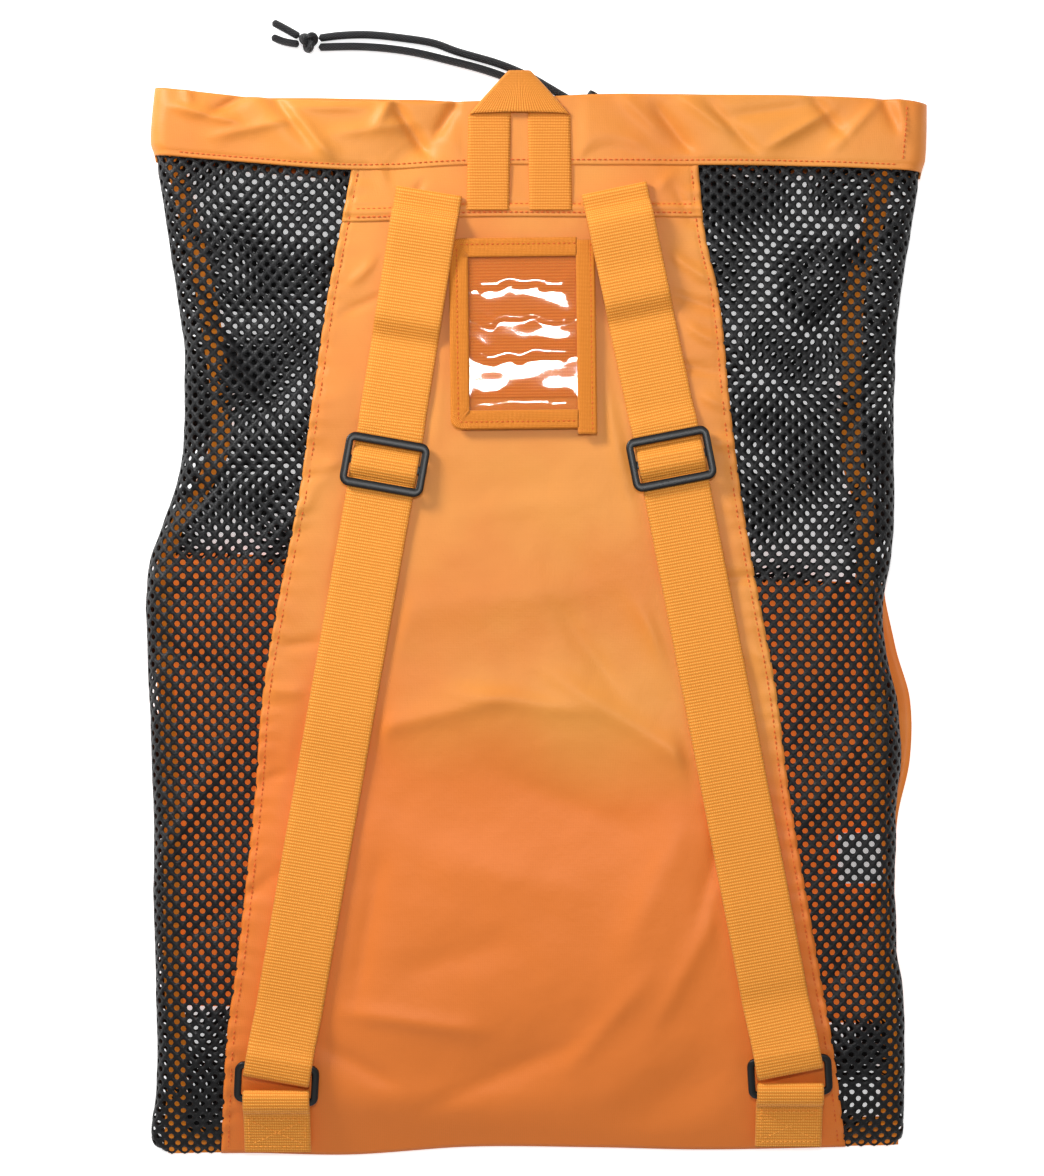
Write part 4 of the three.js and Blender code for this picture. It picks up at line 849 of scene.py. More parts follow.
def front_net_place(s, t):
    """Where the front's net lies. Its grain strays from the plan's straight lines."""
    x = s + 4.6 * noise_at(s, t, 44, 41.0)
    up = np.clip((t + 4.6 * noise_at(s, t, 48, 43.0)) / bag_length, 0, 1)
    return front_place(x, up, np.maximum(1.2 + 1.2 * noise_at(s, t, 30, 47.0), 0.9))


for name, t_range, low, high, lap in (
    ("front_net_lower", (8, 90), lambda x: base_tape_width / bag_length, pocket_foot_up, 0.0),
    ("front_net_upper", (316, 575), pocket_top_up, lambda x: hem_foot, 4.0),
):

    def front_keep(s, t, low=low, high=high, lap=lap):
        up = t / bag_length
        inside = (s > tape_x(-1, up) - 2) & (s < tape_x(1, up) + 2)
        return inside & (up > low(s) - 2 / bag_length) & (up < high(s) + lap / bag_length)

    front_net = knitted_net(name + "_knit", (-216, 216), t_range, front_keep, front_net_place)
    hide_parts(name)


# Tapes: woven orange tape over the two side seams of the front, on the inside of the bag, where it
# shows through the net, and a strip of nylon along the foot of the front.
# The tape has a painted glow, for how bright it looks through the net.
tape_cloth = coated_nylon("seam_tape", srgb(244, 144, 40), srgb(232, 122, 30), 0.55, painted_glow=0.22)
for side, name in ((-1, "side_tape_left"), (1, "side_tape_right")):

    def side_tape_place(a, b, side=side):
        up = b * (hem_foot + 0.006)
        run = tape_run(side, up) + (a - 0.5) * side_tape_width * -side
        return side_fold(side, run, up, 2.2 + 0.3 * noise_at(a * 12, up * bag_length, 9, 3.0))

    tape = woven(name + "_tape", 6, 260, side_tape_place, (12, 560), tape_cloth, wall=0.8)
    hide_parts(name)


# The strip has a painted glow, for how bright it looks through the net.
base_nylon = coated_nylon("base_nylon", srgb(248, 148, 46), srgb(238, 128, 34), 0.55, painted_glow=0.12)


def base_tape_place(a, b):
    up = b * (base_tape_width + 2) / bag_length
    left, right = tape_x(-1, up) - 4, tape_x(1, up) + 4
    return front_place(left + (right - left) * a, up, 1.2)


base_tape = woven("base_tape_cloth", 180, 6, base_tape_place, (400, 17), base_nylon, wall=0.7)
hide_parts("base_tape")


# Front pocket: two walls of nylon, open at the top. The inner one closes the front behind it, and
# the outer one stands out past the bag's right side.
# Both walls have a painted glow, the inner one a strong one, for how bright they look through the net.
pocket_nylon = coated_nylon("pocket_nylon", srgb(250, 128, 48), srgb(246, 96, 34), painted_glow=0.42)
pocket_outer_nylon = coated_nylon("pocket_outer_nylon", srgb(244, 146, 62), srgb(236, 124, 46), painted_glow=0.08)


def pocket_back_place(a, b):
    up = np.full_like(a, 0.3)
    for _ in range(3):
        left, right = tape_x(-1, up) - 3, tape_x(1, up) + 3
        x = left + (right - left) * a
        up = pocket_foot_up(x) + (pocket_top_up(x) - pocket_foot_up(x)) * b
    t = up * bag_length
    rise = 1.3 + 1.0 * noise_at(x, t, 30, 51.0) + 0.5 * noise_at(x, t, 12, 53.0)
    return front_place(x, up, np.maximum(rise, 0.6))


pocket_back = woven(
    "pocket_back_cloth", 120, 80, pocket_back_place, (400, 257), pocket_nylon, wall=0.6
)
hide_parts("pocket_back")

pocket_bulge = 12.5
pocket_side = smooth_column(
    [(0.0, 0.0), (0.1, 0.15), (0.45, 0.45), (0.6, 0.85), (0.75, 1.0), (0.88, 0.85), (1.0, 0.35)], 1
)


def pocket_front_place(a, b):
    up = pocket_foot_up(0) + (pocket_top_up(0) - pocket_foot_up(0)) * b
    for _ in range(3):
        left = edge_x(-1, up) + 3
        right = edge_x(1, up) - 4 + pocket_bulge * pocket_side(b)
        x = left + (right - left) * a
        up = pocket_foot_up(x) + (pocket_top_up(x) - pocket_foot_up(x)) * b
    rim = np.minimum(a, 1 - a) * 400
    t = up * bag_length
    edge_roll = 3.4 * (1 - ease(0, 12, rim)) * (a > 0.5) + 0.4 * noise_at(x, t, 16, 57.0) * (a > 0.9)
    return np.column_stack([x, level(x, up), np.maximum(0.75 + edge_roll, 0.65)])


pocket_front = woven(
    "pocket_front_cloth", 130, 80, pocket_front_place, (420, 257), pocket_outer_nylon,
    wall=0.55,
)
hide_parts("pocket_front")


# Care label: a plain white tag of woven satin, sewn in beside the right tape inside the bag.
label_white, label_shader = plain_material("label_satin", srgb(244, 244, 242), 0.45)
# Painted glow: the label gives off a little white light, for how bright it looks through the net.
label_shader.inputs["Emission Color"].default_value = (1, 1, 1, 1)
label_shader.inputs["Emission Strength"].default_value = 0.35
label_threads = wave(label_white, cloth_place(label_white), 0.4 * mm, "Y")
bump(label_white, label_shader, label_threads, 0.4, 0.05 * mm)


def label_place(a, b):
    up = 0.279 + (b - 0.5) * 29 / bag_length
    x = edge_x(1, up) - 5 - 27 * (1 - a)
    lie = side_fold(1, tape_run(1, up), up, 2.8)[:, 2]
    z = np.maximum(lie, 4.2) + 3.2 * (1 - a) + 0.5 * np.sin(b * 5)
    return np.column_stack([x, level(x, up), z])


label = woven("care_label_satin", 10, 10, label_place, (26, 29), label_white, wall=0.35)
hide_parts("care_label")


# Shoulder straps: 38 mm ribbed polypropylene webbing. Each comes out of the yoke seam, is folded over,
# goes through the slider's bars and down to the ring, and comes back underneath to the middle bar.
strap_width, strap_wall, layer_gap = 38.0, 1.5, 0.4
rib_pitch, dash_pitch = 1.76, 1.9
layer1 = layer_gap + strap_wall / 2
layer2 = layer1 + strap_wall + layer_gap


def ribbed_webbing(name, light, deep, pitch, turned=False):
    """Webbing: ribs across it, each a row of short slanting dashes."""
    material, shader = plain_material(name, light, 0.62)
    along, across = ("X", "Y") if turned else ("Y", "X")
    ribs = wave(material, cloth_place(material), pitch * mm, along)
    dashes = wave(material, cloth_place(material), dash_pitch / 2 * mm, across)
    weave = combine(material, ribs, combine(material, dashes, 0.35, "ADD"), "MULTIPLY")
    paint(material, shader, blended(material, ranged(material, weave, 0.05, 0.85), deep, light))
    bump(material, shader, weave, 0.7, 0.35 * mm)
    shader.inputs["Specular IOR Level"].default_value = 0.3
    shader.inputs["Sheen Weight"].default_value = 0.15
    shader.inputs["Sheen Tint"].default_value = (1.0, 0.8, 0.5, 1)
    return material


strap_webbing = ribbed_webbing("strap_webbing", srgb(255, 176, 74), srgb(230, 134, 34), rib_pitch)


def back_height(x, y):
    """Height of the back's outer face at places on the plan."""
    x, y = np.broadcast_arrays(np.asarray(x, dtype=float), np.asarray(y, dtype=float))
    return back_top(x.ravel(), up_at(x.ravel(), y.ravel()))[:, 2].reshape(x.shape)


def carried(x, y, heading, width, height_at=back_height):
    """Highest point of the cloth under a stretch of webbing."""
    u, v = np.meshgrid(np.array([-0.6, -0.5, -0.25, 0, 0.25, 0.5, 0.6]) * width, [-7, 0, 7])
    return height_at(x + heading[1] * u + heading[0] * v, y - heading[0] * u + heading[1] * v).max()


def seat(x, y, heading, width, length):
    """A plane that lies on the back under a piece, along a heading on the plan."""
    heading = unit(heading)
    stations = np.linspace(-length / 2, length / 2, 9)
    heights = np.array([carried(x + heading[0] * v, y + heading[1] * v, heading, width) for v in stations])
    slope = (heights[-1] - heights[0]) / length
    rise = max(0, (heights - heights[0] - slope * (stations + length / 2)).max())
    along = unit([heading[0], heading[1], slope])
    across = np.array([heading[1], -heading[0], 0])
    origin = np.array([x, y, (heights[0] + heights[-1]) / 2 + rise])
    return {"origin": origin, "along": along, "across": across, "normal": np.cross(across, along)}


def on_seat(place, along, high, across=0.0):
    """Points of a seat's plane, or high over it."""
    offsets = np.broadcast_arrays(along, high, across)
    along, high, across = (np.asarray(v, dtype=float)[..., None] for v in offsets)
    return place["origin"] + place["along"] * along + place["normal"] * high + place["across"] * across


def webbing(name, path, width, wall, material, pitch=rib_pitch):
    """A length of webbing along a path of points, each with the direction across it. Its selvedges are
    round, and each rib is a real ridge."""
    points, length = spline(path, 2)
    rows = int(round(length / (pitch / 2)))
    points, length = spline(path, rows + 1)
    line = points[:, :3]
    tangent = unit(np.gradient(line, axis=0))
    across = points[:, 3:]
    across = unit(across - tangent * (across * tangent).sum(axis=1)[:, None])
    normal = np.cross(across, tangent)
    half = width / 2
    flat_part = np.linspace(-half + 1.0, half - 1.0, 10)
    upper = [(u, wall / 2) for u in flat_part]
    lower = [(-u, -wall / 2) for u in flat_part]
    right_edge = [(half - 0.3, 0.3 * wall), (half, 0), (half - 0.3, -0.3 * wall)]
    left_edge = [(-u, -n) for u, n in right_edge]
    section = np.array(upper + right_edge + lower + left_edge)
    columns = len(section)
    ribs = 0.1 * (np.abs(section[:, 0]) < half - 0.9) * np.sign(section[:, 1])

    def place(a, b):
        row = np.rint(b * rows).astype(int)
        column = np.rint(a * columns).astype(int) % columns
        u, n = section[column].T
        n = n + ribs[column] * np.where(row % 2 == 0, 1, -1)
        return line[row] + across[row] * u[:, None] + normal[row] * n[:, None]

    flat = (2 * width, length)
    return woven(name, columns, rows, place, flat, material, closed=True, capped=True)


# Identity window's seat comes here, because the straps lie on its upper corners
window_width, window_height, window_tape = 83.0, 109.0, 11.0
window_top = 4 * layer_gap + 1.2 + 0.6 + 1.2
window_x = -0.035 * half_width
window_seat = seat(
    window_x, level(window_x, 0.773), (math.sin(-0.012), math.cos(-0.012)), window_width, window_height
)


def rest_height(x, y):
    """Height of what a strap lies on: the back, or the window's edge where that is under it."""
    dx, dy = np.abs(x - window_seat["origin"][0]), y - window_seat["origin"][1]
    over = (dx < window_width / 2 + 1) & (np.abs(dy) < window_height / 2 + 5)
    return np.maximum(back_height(x, y), np.where(over, on_seat(window_seat, dy, window_top)[..., 2], -1))


# Sliders and rings: moulded black plastic frames that the webbing runs through. A slider has three
# bars and a ring has two, and both have round corners.
slider_length, slider_bar, ring_length, ring_bar, bar_height = 31.0, 5.0, 24.0, 4.0, 3.0
side_bar, frame_corner = 4.2, 3.2
frame_opening = strap_width + 1.6
frame_wide = frame_opening + 2 * side_bar
plastic_black, plastic_shader = plain_material("moulded_plastic", srgb(16, 16, 17), 0.36)
plastic_shader.inputs["Specular IOR Level"].default_value = 0.4
grain = cloud(plastic_black, object_place(plastic_black), 1600.0, 2.0)
bump(plastic_black, plastic_shader, grain, 0.25, 0.1 * mm)


def boxy(wave_value):
    """A sine or cosine pushed out towards -1 and 1, which makes a rounded square of a circle."""
    return np.sign(wave_value) * np.abs(wave_value) ** 0.55


def moulded_frame(name, length, end_bar, place, tilt, foot):
    """A frame with round corners: a rounded bar swept round a rounded rectangle. A slider has a
    middle bar too."""
    half_x, half_y = (frame_wide - side_bar) / 2, (length - end_bar) / 2
    corners = []
    for cx, cy, start in ((1, -1, -90), (1, 1, 0), (-1, 1, 90), (-1, -1, 180)):
        for angle in np.radians(np.linspace(start, start + 90, 9)):
            out = (math.cos(angle), math.sin(angle))
            corner_x = cx * (half_x - frame_corner) + frame_corner * out[0]
            corner_y = cy * (half_y - frame_corner) + frame_corner * out[1]
            corners.append((corner_x, corner_y, *out))
    contour = np.array(corners)
    columns, rows = len(contour), 16
    c, s = math.cos(-tilt), math.sin(-tilt)

    def frame_place(a, b):
        x, y, out_x, out_y = contour[np.rint(a * columns).astype(int) % columns].T
        half = side_bar / 2 + (end_bar - side_bar) / 2 * out_y**2
        angle = 2 * np.pi * b
        reach = boxy(np.cos(angle)) * half
        high = boxy(np.sin(angle)) * bar_height / 2 + bar_height / 2
        u, v = x + out_x * reach, y + out_y * reach
        return on_seat(place, v * c - high * s, foot + v * s + high * c, u)

    bm = bmesh.new()
    bmesh.ops.create_grid(bm, x_segments=columns, y_segments=rows, size=0.5)
    shares = np.array([v.co[:2] for v in bm.verts]) + 0.5
    for vert, point in zip(bm.verts, frame_place(shares[:, 0], shares[:, 1]) * mm):
        vert.co = point
    bmesh.ops.remove_doubles(bm, verts=bm.verts, dist=0.005 * mm)
    if length == slider_length:
        bar = bmesh.ops.create_cube(bm, size=1.0)["verts"]
        edges = list({e for v in bar for e in v.link_edges})
        rounded = bmesh.ops.bevel(
            bm, geom=edges, affect="EDGES", segments=3, profile=0.5, material=-1, offset=0.12
        )
        bar = list({v for f in rounded["faces"] for v in f.verts} | {v for v in bar if v.is_valid})
        for vert in bar:
            u, v = vert.co.x * (frame_opening + 2), vert.co.y * slider_bar
            high = (vert.co.z + 0.5) * 2
            vert.co = Vector(on_seat(place, v * c - high * s, foot + v * s + high * c, u) * mm)
    bmesh.ops.recalc_face_normals(bm, faces=bm.faces)
    return finish_piece(name, bm, plastic_black)


strap_ends = {
    # side: where the strap is folded, the slider's middle and the ring's middle
    "left": ((-0.276, 0.909), (-0.389, 0.651), (-0.668, 0.0715)),
    "right": ((0.199, 0.91), (0.345, 0.656), (0.651, 0.076)),
}
tab_turn = -4.6  # where a tab turns round its ring's bar
tab_foot = 0.003  # share of the bag's length
ring_seats = {}
for side, ends in strap_ends.items():
    fold_at, slider_at, ring_at = (
        np.array([across * half_width, level(across * half_width, up)]) for across, up in ends
    )
    upper, lower = unit(fold_at - slider_at), unit(slider_at - ring_at)
    slider_seat = seat(*slider_at, lower, frame_wide, 44)
    bar_middle = (slider_length - slider_bar) / 2
    first_bar = layer1 + strap_wall / 2 + layer_gap
    last_bar = layer2 + strap_wall / 2 + layer_gap
    tilt = math.atan2(last_bar - first_bar, 2 * bar_middle)
    slider_foot = (first_bar + last_bar) / 2 + 0.15
    slider = moulded_frame(
        "slider_" + side + "_moulded", slider_length, slider_bar, slider_seat, tilt, slider_foot
    )
    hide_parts("slider_" + side)

    ring_heading = unit(np.array([0.0, 1.0]) * 0.65 + lower * 0.35)
    ring_seat = seat(*ring_at, ring_heading, frame_wide, 40)
    ring_foot = layer1 + strap_wall / 2 + layer_gap
    ring = moulded_frame("ring_" + side + "_moulded", ring_length, ring_bar, ring_seat, 0.0, ring_foot)
    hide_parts("ring_" + side)
    ring_seats[side] = (ring_at, ring_seat)

    path = []

    def lay(start, end, layer, steps, heading):
        """Webbing that lies on the back from one place to another."""
        for k in range(steps + 1):
            x, y = start + (end - start) * k / steps
            z = carried(x, y, heading, strap_width, rest_height) + layer
            path.append((x, y, z, heading[1], -heading[0], 0))

    def local(place, rows, heading=None, crossing=0.0):
        """Webbing by its places on a seat, along a heading of its own that crosses it."""
        skew, across = 0.0, tuple(place["across"])
        if heading is not None:
            skew = float(np.dot(heading, place["across"][:2]))
            across = (heading[1], -heading[0], 0)
        for v, high in rows:
            path.append((*on_seat(place, v, high, (v - crossing) * skew), *across))

    fold_size = (strap_wall + layer_gap + 0.5) / 2
    seam_at = fold_at - upper * 14
    turn_at = fold_at - upper * (fold_size + strap_wall / 2)
    lay(seam_at, turn_at - upper, layer1, 2, upper)
    turn_height = carried(*turn_at, upper, strap_width, rest_height) + layer1 + fold_size
    for angle in np.radians([-60, -30, 0, 30, 60]):
        x, y = turn_at + upper * fold_size * math.cos(angle)
        path.append((x, y, turn_height + fold_size * math.sin(angle), upper[1], -upper[0], 0))
    lay(turn_at - upper, fold_at - upper * 19, layer1 + 2 * fold_size, 2, upper)
    lay(fold_at - upper * 44, slider_at + upper * 30, layer1, 8, upper)
    over_middle = slider_foot + 2 + layer_gap + strap_wall / 2
    local(slider_seat, [
        (20, layer1), (bar_middle - 3.2, layer1), (bar_middle - 7, layer1 * 0.48 + over_middle * 0.52),
        (3.4, over_middle - 0.3), (0, over_middle), (-3.4, over_middle - 0.1),
        (-bar_middle + 6.2, (layer2 + over_middle) / 2), (-bar_middle + 2.9, layer2), (-20, layer2),
    ])
    span = np.linalg.norm(slider_at - ring_at)
    lay(ring_at + lower * (span - 32), ring_at + lower * 42, layer2, 20, lower)
    over = ring_foot + bar_height + layer_gap + strap_wall / 2
    bar_at = (ring_length - ring_bar) / 2
    turn_high, turn_low = (over - layer1) / 2, (over + layer1) / 2
    local(ring_seat, [
        (24, layer2 + 0.3), (17.5, layer2 * 0.3 + over * 0.7), (bar_at + 4.2, over),
        (bar_at - 0.8, over + 0.2), (4.3, turn_low + turn_high * 0.94),
        (2.4, turn_low + turn_high * 0.5), (1.7, turn_low), (2.4, turn_low - turn_high * 0.5),
        (4.3, turn_low - turn_high * 0.92), (bar_at - 0.5, layer1 - 0.1), (22, layer1),
    ], lower, 5)
    lay(ring_at + lower * 42, ring_at + lower * (span - 32), layer1, 20, lower)
    local(slider_seat, [(-20, layer1), (-8, layer1), (0, slider_foot - 1.35), (2, slider_foot - 1.15)])
    strap = webbing("strap_" + side + "_webbing", path, strap_width, strap_wall, strap_webbing)
    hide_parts("strap_" + side)

    # Tab: a loop of the same webbing that holds the ring
    path.clear()
    straight = np.array([0.0, 1.0])
    tab_x = float(on_seat(ring_seat, tab_turn, 0)[0])
    heel = np.array([tab_x, float(level(tab_x, tab_foot)) + 0.6])
    neck = np.array([tab_x, ring_at[1] - 19])
    lay(heel, neck, layer1, 2, straight)
    local(ring_seat, [
        (-bar_at - 2, layer1), (-bar_at + 1.6, layer1), (tab_turn - 2.2, turn_low - turn_high * 0.92),
        (tab_turn - 0.6, turn_low - turn_high * 0.5), (tab_turn, turn_low),
        (tab_turn - 0.6, turn_low + turn_high * 0.5), (tab_turn - 2.2, turn_low + turn_high * 0.92),
        (-bar_at + 1, over + 0.1), (-bar_at - 3.2, over), (-16.5, (layer2 + over) / 2),
    ], straight, tab_turn)
    lay(neck, heel, layer2, 2, straight)
    tab = webbing("tab_" + side + "_webbing", path, strap_width, strap_wall, strap_webbing)
    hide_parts("tab_" + side)


# Handle: one length of 25 mm webbing with its two legs sewn into the yoke seam. It is folded twice at
# 45 degrees, which lays a straight band across its top.
handle_width, handle_wall, handle_rise, handle_rib = 25.0, 1.5, 16.2, 1.6
handle_colours = (srgb(250, 166, 66), srgb(218, 124, 32))
handle_webbing = ribbed_webbing("handle_webbing", *handle_colours, handle_rib)
band_webbing = ribbed_webbing("handle_band_webbing", *handle_colours, handle_rib, turned=True)
peak_x = -0.044 * half_width
peak_y = float(level(peak_x, 1.0))
leg_foot_y = float(level(peak_x, yoke_foot + 0.003))
handle_middle = (leg_foot_y + peak_y) / 2
handle_seat = seat(peak_x, handle_middle, (0.0, 1.0), 2.2 * handle_width, peak_y - leg_foot_y)
handle_top = peak_y + handle_rise - handle_middle
handle_foot = leg_foot_y - handle_middle
fold_line = handle_top - handle_width
outer = handle_width + 4
top_half = outer - handle_width + 2.6
leg_low = layer_gap
band_low = leg_low + handle_wall + layer_gap
handle_pieces = []
for side, name in ((-1, "handle_leg_left"), (1, "handle_leg_right")):

    def leg_place(a, b, side=side):
        v = handle_foot + (fold_line + 22 - handle_foot) * b
        lean = 1.4 * (1 - b)
        u = side * (outer + lean - handle_width + 0.3 + (handle_width - 0.6) * a)
        ridge = 0.1 * np.cos(2 * np.pi * v / handle_rib) * (np.abs(a - 0.5) < 0.46)
        edge_drop = 0.5 * np.abs(2 * a - 1) ** 10
        return on_seat(handle_seat, v, leg_low + handle_wall + ridge - edge_drop, u)

    slant = unit([side * (handle_top - fold_line), outer - top_half, 0])
    cut = on_seat(handle_seat, fold_line, 0, side * (outer - 0.8))
    leg = woven(
        name, 14, 94, leg_place, (handle_width, 76), handle_webbing, wall=1.3, trims=[(cut, slant)]
    )
    if side < 0:
        leg.data.flip_normals()
    handle_pieces.append(leg)


def band_place(a, b):
    half = outer + (top_half - outer) * b
    u = half * (2 * a - 1)
    v = fold_line - 0.5 + handle_width * b + 0.9 * (1 - b) * (1 - (u / outer) ** 2)
    from_fold = (half - np.abs(u)) * 0.8
    drop = 2.6 * (1 - np.sqrt(np.clip(1 - (1 - np.clip(from_fold / 2.2, 0, 1)) ** 2, 0, 1)))
    ridge = 0.1 * np.cos(2 * np.pi * u / handle_rib)
    arch = 0.9 * np.sin(np.pi * a) * (1 - b)
    edge_drop = 0.4 * np.abs(2 * b - 1) ** 14
    return on_seat(handle_seat, v, band_low + handle_wall + ridge + arch - drop - edge_drop, u)


band = woven(
    "handle_band", 75, 20, band_place, (2 * outer, handle_width), band_webbing, wall=1.2
)
handle_pieces.append(band)
for piece in handle_pieces:
    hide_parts("handle")


# Identity window: a backing of ribbed webbing, a clear vinyl film over it, and a narrow tape with
# mitred corners round the edge, sewn on with one row of stitches.
window_webbing = ribbed_webbing("window_webbing", srgb(240, 146, 62), srgb(206, 104, 30), rib_pitch)
window_tape_cloth = ribbed_webbing("window_tape", srgb(240, 152, 50), srgb(216, 118, 24), 0.75)
half_w, half_h = window_width / 2, window_height / 2
inner_width, inner_height = window_width - window_tape, window_height - window_tape
backing_high = layer_gap + 1.2
film_high = backing_high + layer_gap + 0.6
tape_high = film_high + layer_gap + 1.2


def backing_place(a, b):
    """The webbing ends short of the window's foot."""
    v = -half_h + 18 + (window_height - 18 - window_tape / 2) * b
    ridge = 0.1 * np.cos(2 * np.pi * v / rib_pitch)
    return on_seat(window_seat, v, backing_high + ridge, (a - 0.5) * inner_width)


backing = woven(
    "window_backing_webbing", 20, 97, backing_place, (72, 85), window_webbing, wall=1.0
)


def under_strip_place(a, b):
    """A strip of nylon closes the rest."""
    v = -half_h + window_tape / 2 + 15 * b
    return on_seat(window_seat, v, backing_high - 0.7, (a - 0.5) * inner_width)


under_strip = woven(
    "window_under_strip", 12, 4, under_strip_place, (72, 15), back_nylon, wall=0.4
)
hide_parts("window_backing")
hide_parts("window_backing")

vinyl, vinyl_shader = plain_material("clear_vinyl", srgb(228, 128, 48), 0.05)
vinyl_shader.inputs["Alpha"].default_value = 0.28
vinyl_shader.inputs["Specular IOR Level"].default_value = 1.0
vinyl_shader.inputs["IOR"].default_value = 1.54


# Waves across the film, between which it is flat and shines. Columns: place along, half width
film_waves = [(30.0, 4.6), (8.5, 1.6), (-10.5, 3.6), (-42.0, 5.5)]


def film_place(a, b):
    """The film is flat along its sewn edges and waves between them."""
    u, v = (a - 0.5) * inner_width, (b - 0.5) * inner_height
    bent = v + 4.5 * noise_at(u, v * 0.4, 13, 71.0) + 1.2 * noise_at(u, v, 5, 75.0)
    ripple = sum(0.75 * np.exp(-(((bent - at) / wide) ** 2)) for at, wide in film_waves)
    ripple = ripple + 0.14 * noise_at(u * 0.6, v, 10, 73.0)
    rim = np.minimum(np.minimum(a, 1 - a) * inner_width, np.minimum(b, 1 - b) * inner_height)
    return on_seat(window_seat, v, film_high + 0.2 + ripple * ease(3, 12, rim), u)


film = woven("window_film_vinyl", 80, 110, film_place, (72, 98), vinyl, wall=0.25)
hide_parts("window_film")

# The tape's path as pairs of places, on its inner and on its outer edge
tape_end = half_w - window_tape + 0.7
round_corner = 6.0
pairs = []
for u in np.arange(tape_end, -half_w + window_tape, -1.5):
    pairs.append((u, half_h - window_tape, u, half_h))
for cy, start in ((half_h, 90), (-half_h, 180)):
    sign = 1 if cy > 0 else -1
    inner_corner = (-half_w + window_tape, cy - sign * window_tape)
    for t in np.linspace(0, 1, 9):
        if t < 0.25 or t > 0.75:
            slide = (window_tape - round_corner) * (1 - (t if t < 0.25 else 1 - t) * 4)
            if (t < 0.25) == (sign > 0):
                out = (-half_w + round_corner + slide, cy)
            else:
                out = (-half_w, cy - sign * (round_corner + slide))
        else:
            angle = math.radians(start + 90 * (t - 0.25) / 0.5)
            out = (
                -half_w + round_corner + round_corner * math.cos(angle),
                cy - sign * round_corner + round_corner * math.sin(angle),
            )
        pairs.append((*inner_corner, *out))
    if sign > 0:
        for v in np.arange(half_h - window_tape - 1.5, -half_h + window_tape, -1.5):
            pairs.append((-half_w + window_tape, v, -half_w, v))
for u in np.arange(-half_w + window_tape + 1.5, tape_end + 0.1, 1.5):
    pairs.append((u, -half_h + window_tape, u, -half_h))
pairs = np.array(pairs)


def tape_drop(a, seam):
    """How far a tape's face falls away at its edges and along its stitches, at a share of its width."""
    return 0.6 * np.abs(2 * a - 1) ** 8 + 0.3 * np.exp(-(((a - seam) / 0.07) ** 2))


def bent_tape_place(a, b):
    """One length of tape goes round three sides of the window, with a crease at each mitre."""
    row =np.rint(b * (len(pairs) - 1)).astype(int)
    u = pairs[row, 0] + (pairs[row, 2] - pairs[row, 0]) * a
    v = pairs[row, 1] + (pairs[row, 3] - pairs[row, 1]) * a
    mitre = np.abs((u + half_w) - (half_h - np.abs(v)))
    crease = 0.5 * np.exp(-((mitre / 0.8) ** 2)) - 0.4 * np.exp(-(((mitre - 1.4) / 0.5) ** 2))
    near_corner = (u < -half_w + window_tape + 0.1) & (np.abs(v) > half_h - window_tape - 0.1)
    return on_seat(window_seat, v, tape_high + crease * near_corner - tape_drop(a, 0.62), u)


bent_tape = woven(
    "window_tape_bent_cloth", 12, len(pairs) - 1, bent_tape_place, (window_tape, 1.5 * len(pairs)),
    window_tape_cloth, wall=1.0,
)
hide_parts("window_tape_bent")


def right_tape_place(a, b):
    """A second length covers the right side, and its foot stands out past the window's."""
    u = half_w - window_tape + window_tape * a
    v = -half_h - 3.4 + (window_height + 1.9) * b
    return on_seat(window_seat, v, tape_high + 0.1 - tape_drop(a, 0.75), u)


right_tape = woven(
    "window_tape_right_cloth", 12, 74, right_tape_place, (window_tape, 111), window_tape_cloth,
    wall=1.0,
)
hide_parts("window_tape_right")


# Cord lock: a small black barrel, almost hidden under the hem, with the end of its button in front.
lock_turn = -0.507
lock_bm = bmesh.new()
bmesh.ops.create_cube(lock_bm, size=1.0)
bmesh.ops.scale(lock_bm, vec=(0.014, 0.017, 0.009), verts=lock_bm.verts)
bmesh.ops.bevel(
    lock_bm, geom=lock_bm.edges[:], affect="EDGES", segments=4, profile=0.5, material=-1, offset=0.0028
)
button = bmesh.ops.create_cone(
    lock_bm, cap_ends=True, segments=24, radius1=0.0036, radius2=0.0032, depth=0.006,
    matrix=Matrix.Translation((0, 0.0112, 0)) @ Matrix.Rotation(-math.pi / 2, 4, "X"),
)
button_rims = list({e for v in button["verts"] for e in v.link_edges if len(e.link_faces) == 2
                    and any(len(f.verts) > 4 for f in e.link_faces)})
bmesh.ops.bevel(
    lock_bm, geom=button_rims, affect="EDGES", segments=2, profile=0.5, material=-1, offset=0.0006
)
bmesh.ops.transform(
    lock_bm, verts=lock_bm.verts,
    matrix=Matrix.Translation((0.0267, 0.2865, 0.0046)) @ Matrix.Rotation(lock_turn, 4, "Z"),
)
lock = finish_piece("cord_lock_barrel", lock_bm, plastic_black)
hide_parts("cord_lock")


# Stitches: lockstitches of matching thread, each one a small rounded dash that is pulled into the cloth.
thread, thread_shader = plain_material("sewing_thread", srgb(222, 98, 26), 0.6)
twist = wave(thread, object_place(thread), 0.5 * mm, "DIAGONAL")
bump(thread, thread_shader, twist, 0.5, 0.1 * mm)
pale_thread, _ = plain_material("webbing_thread", srgb(250, 168, 66), 0.6)


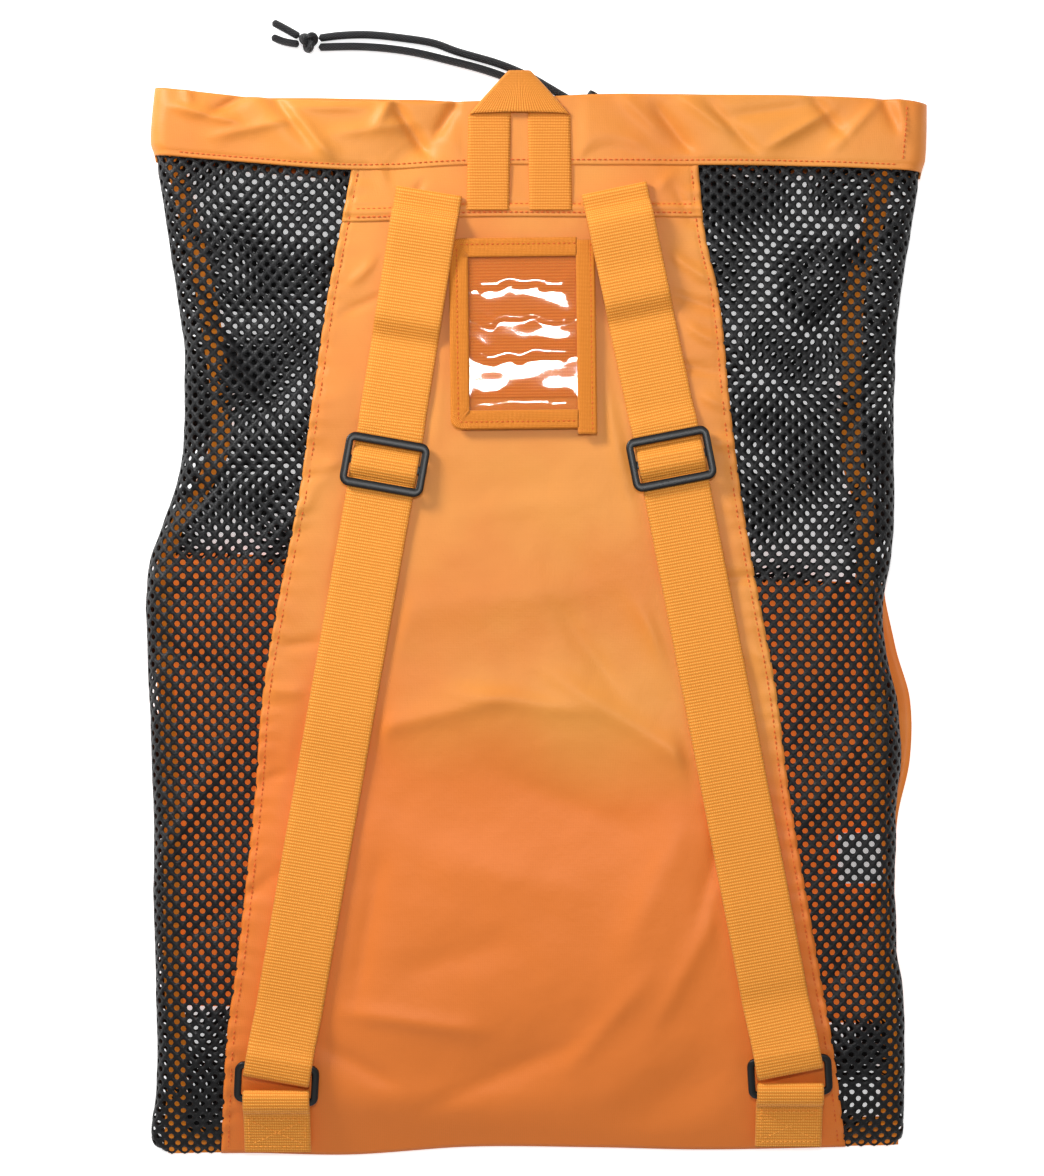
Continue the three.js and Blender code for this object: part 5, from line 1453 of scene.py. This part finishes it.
def stitches(name, lines, height_at, material=thread, pitch=3.1, length=2.3, radius=0.42):
    """Rows of stitches along lines on the plan. height_at gives the height of what they are sewn to."""
    bm = bmesh.new()
    for line in lines:
        line = np.asarray(line, dtype=float)
        run = np.concatenate([[0], np.cumsum(np.linalg.norm(np.diff(line, axis=0), axis=1))])
        starts = np.arange(pitch / 2, run[-1] - pitch / 4, pitch)
        ends = []
        for offset in (-0.5, 0.5):
            ends.append(np.column_stack([np.interp(starts + offset, run, line[:, k]) for k in (0, 1)]))
        middle = (ends[0] + ends[1]) / 2
        ahead = unit(ends[1] - ends[0])
        z0 = height_at(*(middle - ahead * length / 2).T)
        z1 = height_at(*(middle + ahead * length / 2).T)
        for (x, y), (dx, dy), a, b in zip(middle, ahead, z0, z1):
            forward = Vector((dx, dy, (b - a) / length)).normalized()
            across = Vector((-dy, dx, 0))
            up = forward.cross(across)
            turn = Matrix((forward, across, up)).transposed().to_4x4()
            size = Matrix.Diagonal((length / 2 * mm, radius * mm, radius * mm, 1))
            spot = Matrix.Translation(Vector((x, y, (a + b) / 2 + 0.12)) * mm)
            bmesh.ops.create_uvsphere(bm, u_segments=6, v_segments=4, radius=1.0, matrix=spot @ turn @ size)
    bmesh.ops.recalc_face_normals(bm, faces=bm.faces)
    return finish_piece(name, bm, material)


def panel_surface(x, y):
    """The stitches lie 0.45 mm down in the panel's face."""
    return back_height(x, y) + panel_lift - 0.45


ups = np.linspace(0.004, hem_foot, 240)
panel_rows = []
for side in (-1, 1):
    x = panel_x(side, ups) - side * 4.0
    panel_rows.append(np.column_stack([x, level(x, ups)]))
stitches("panel_stitches", panel_rows, panel_surface)
yoke_rows = []
for offset in (0.8, 5.6):
    x = np.linspace(-103, 90, 120)
    yoke_rows.append(np.column_stack([x, level(x, yoke_foot + offset / bag_length)]))
stitches("yoke_stitches", yoke_rows, lambda x, y: back_height(x, y) + 1.0, pitch=3.0)
x = np.linspace(edge_x(-1, hem_foot) + 14, edge_x(1, hem_foot) - 14, 300)
hem_row = np.column_stack([x, level(x, hem_foot + 3.0 / bag_length)])


def hem_surface(x, y):
    return hem_top(x, up_at(x, y))[:, 2] + 0.15


# The hem's own seam is near its right end
hem_seam = [(211.0, 289.0), (208.6, 258.5)]
stitches("hem_stitches", [hem_row, hem_seam], hem_surface)

window_rows = [
    [(tape_end, half_h - 3.4), (-half_w + 5.2, half_h - 3.4), (-half_w + 4.4, half_h - 5),
     (-half_w + 4.4, -half_h + 5.6), (-half_w + 5.6, -half_h + 4.4), (tape_end, -half_h + 4.4)],
    [(half_w - 2.6, half_h - 3), (half_w - 2.6, -half_h - 1)],
    [(half_w - window_tape + 1, -half_h - 0.6), (half_w - 3.4, -half_h - 0.6)],
]
placed_rows = [
    np.array([on_seat(window_seat, v, 0, u)[:2] for u, v in row]) for row in window_rows
]


def window_surface(x, y):
    dy = (y - window_seat["origin"][1]) / window_seat["along"][1]
    return on_seat(window_seat, dy, tape_high - 0.35)[..., 2]


stitches("window_stitches", placed_rows, window_surface, pitch=2.9, length=1.9)

# Each tab is held by a box of stitches with a cross in it
for side, (ring_at, ring_seat) in ring_seats.items():
    tab_x = float(on_seat(ring_seat, tab_turn, 0)[0])
    foot = float(level(tab_x, tab_foot)) + 3.5
    head = ring_at[1] - 21.5
    left, right = tab_x - 16, tab_x + 16
    box = [(left, foot), (right, foot), (right, head), (left, head), (left, foot)]
    cross = [[(left + 2, foot + 2), (right - 2, head - 2)], [(left + 2, head - 2), (right - 2, foot + 2)]]

    def tab_surface(x, y):
        heights = [carried(tab_x, spot, (0.0, 1.0), strap_width) for spot in (foot, head)]
        return np.interp(y, (foot, head), heights) + layer2 + strap_wall / 2 - 0.05

    stitches("tab_" + side + "_stitches", [box, *cross], tab_surface, pale_thread, 2.6, 1.9, 0.35)
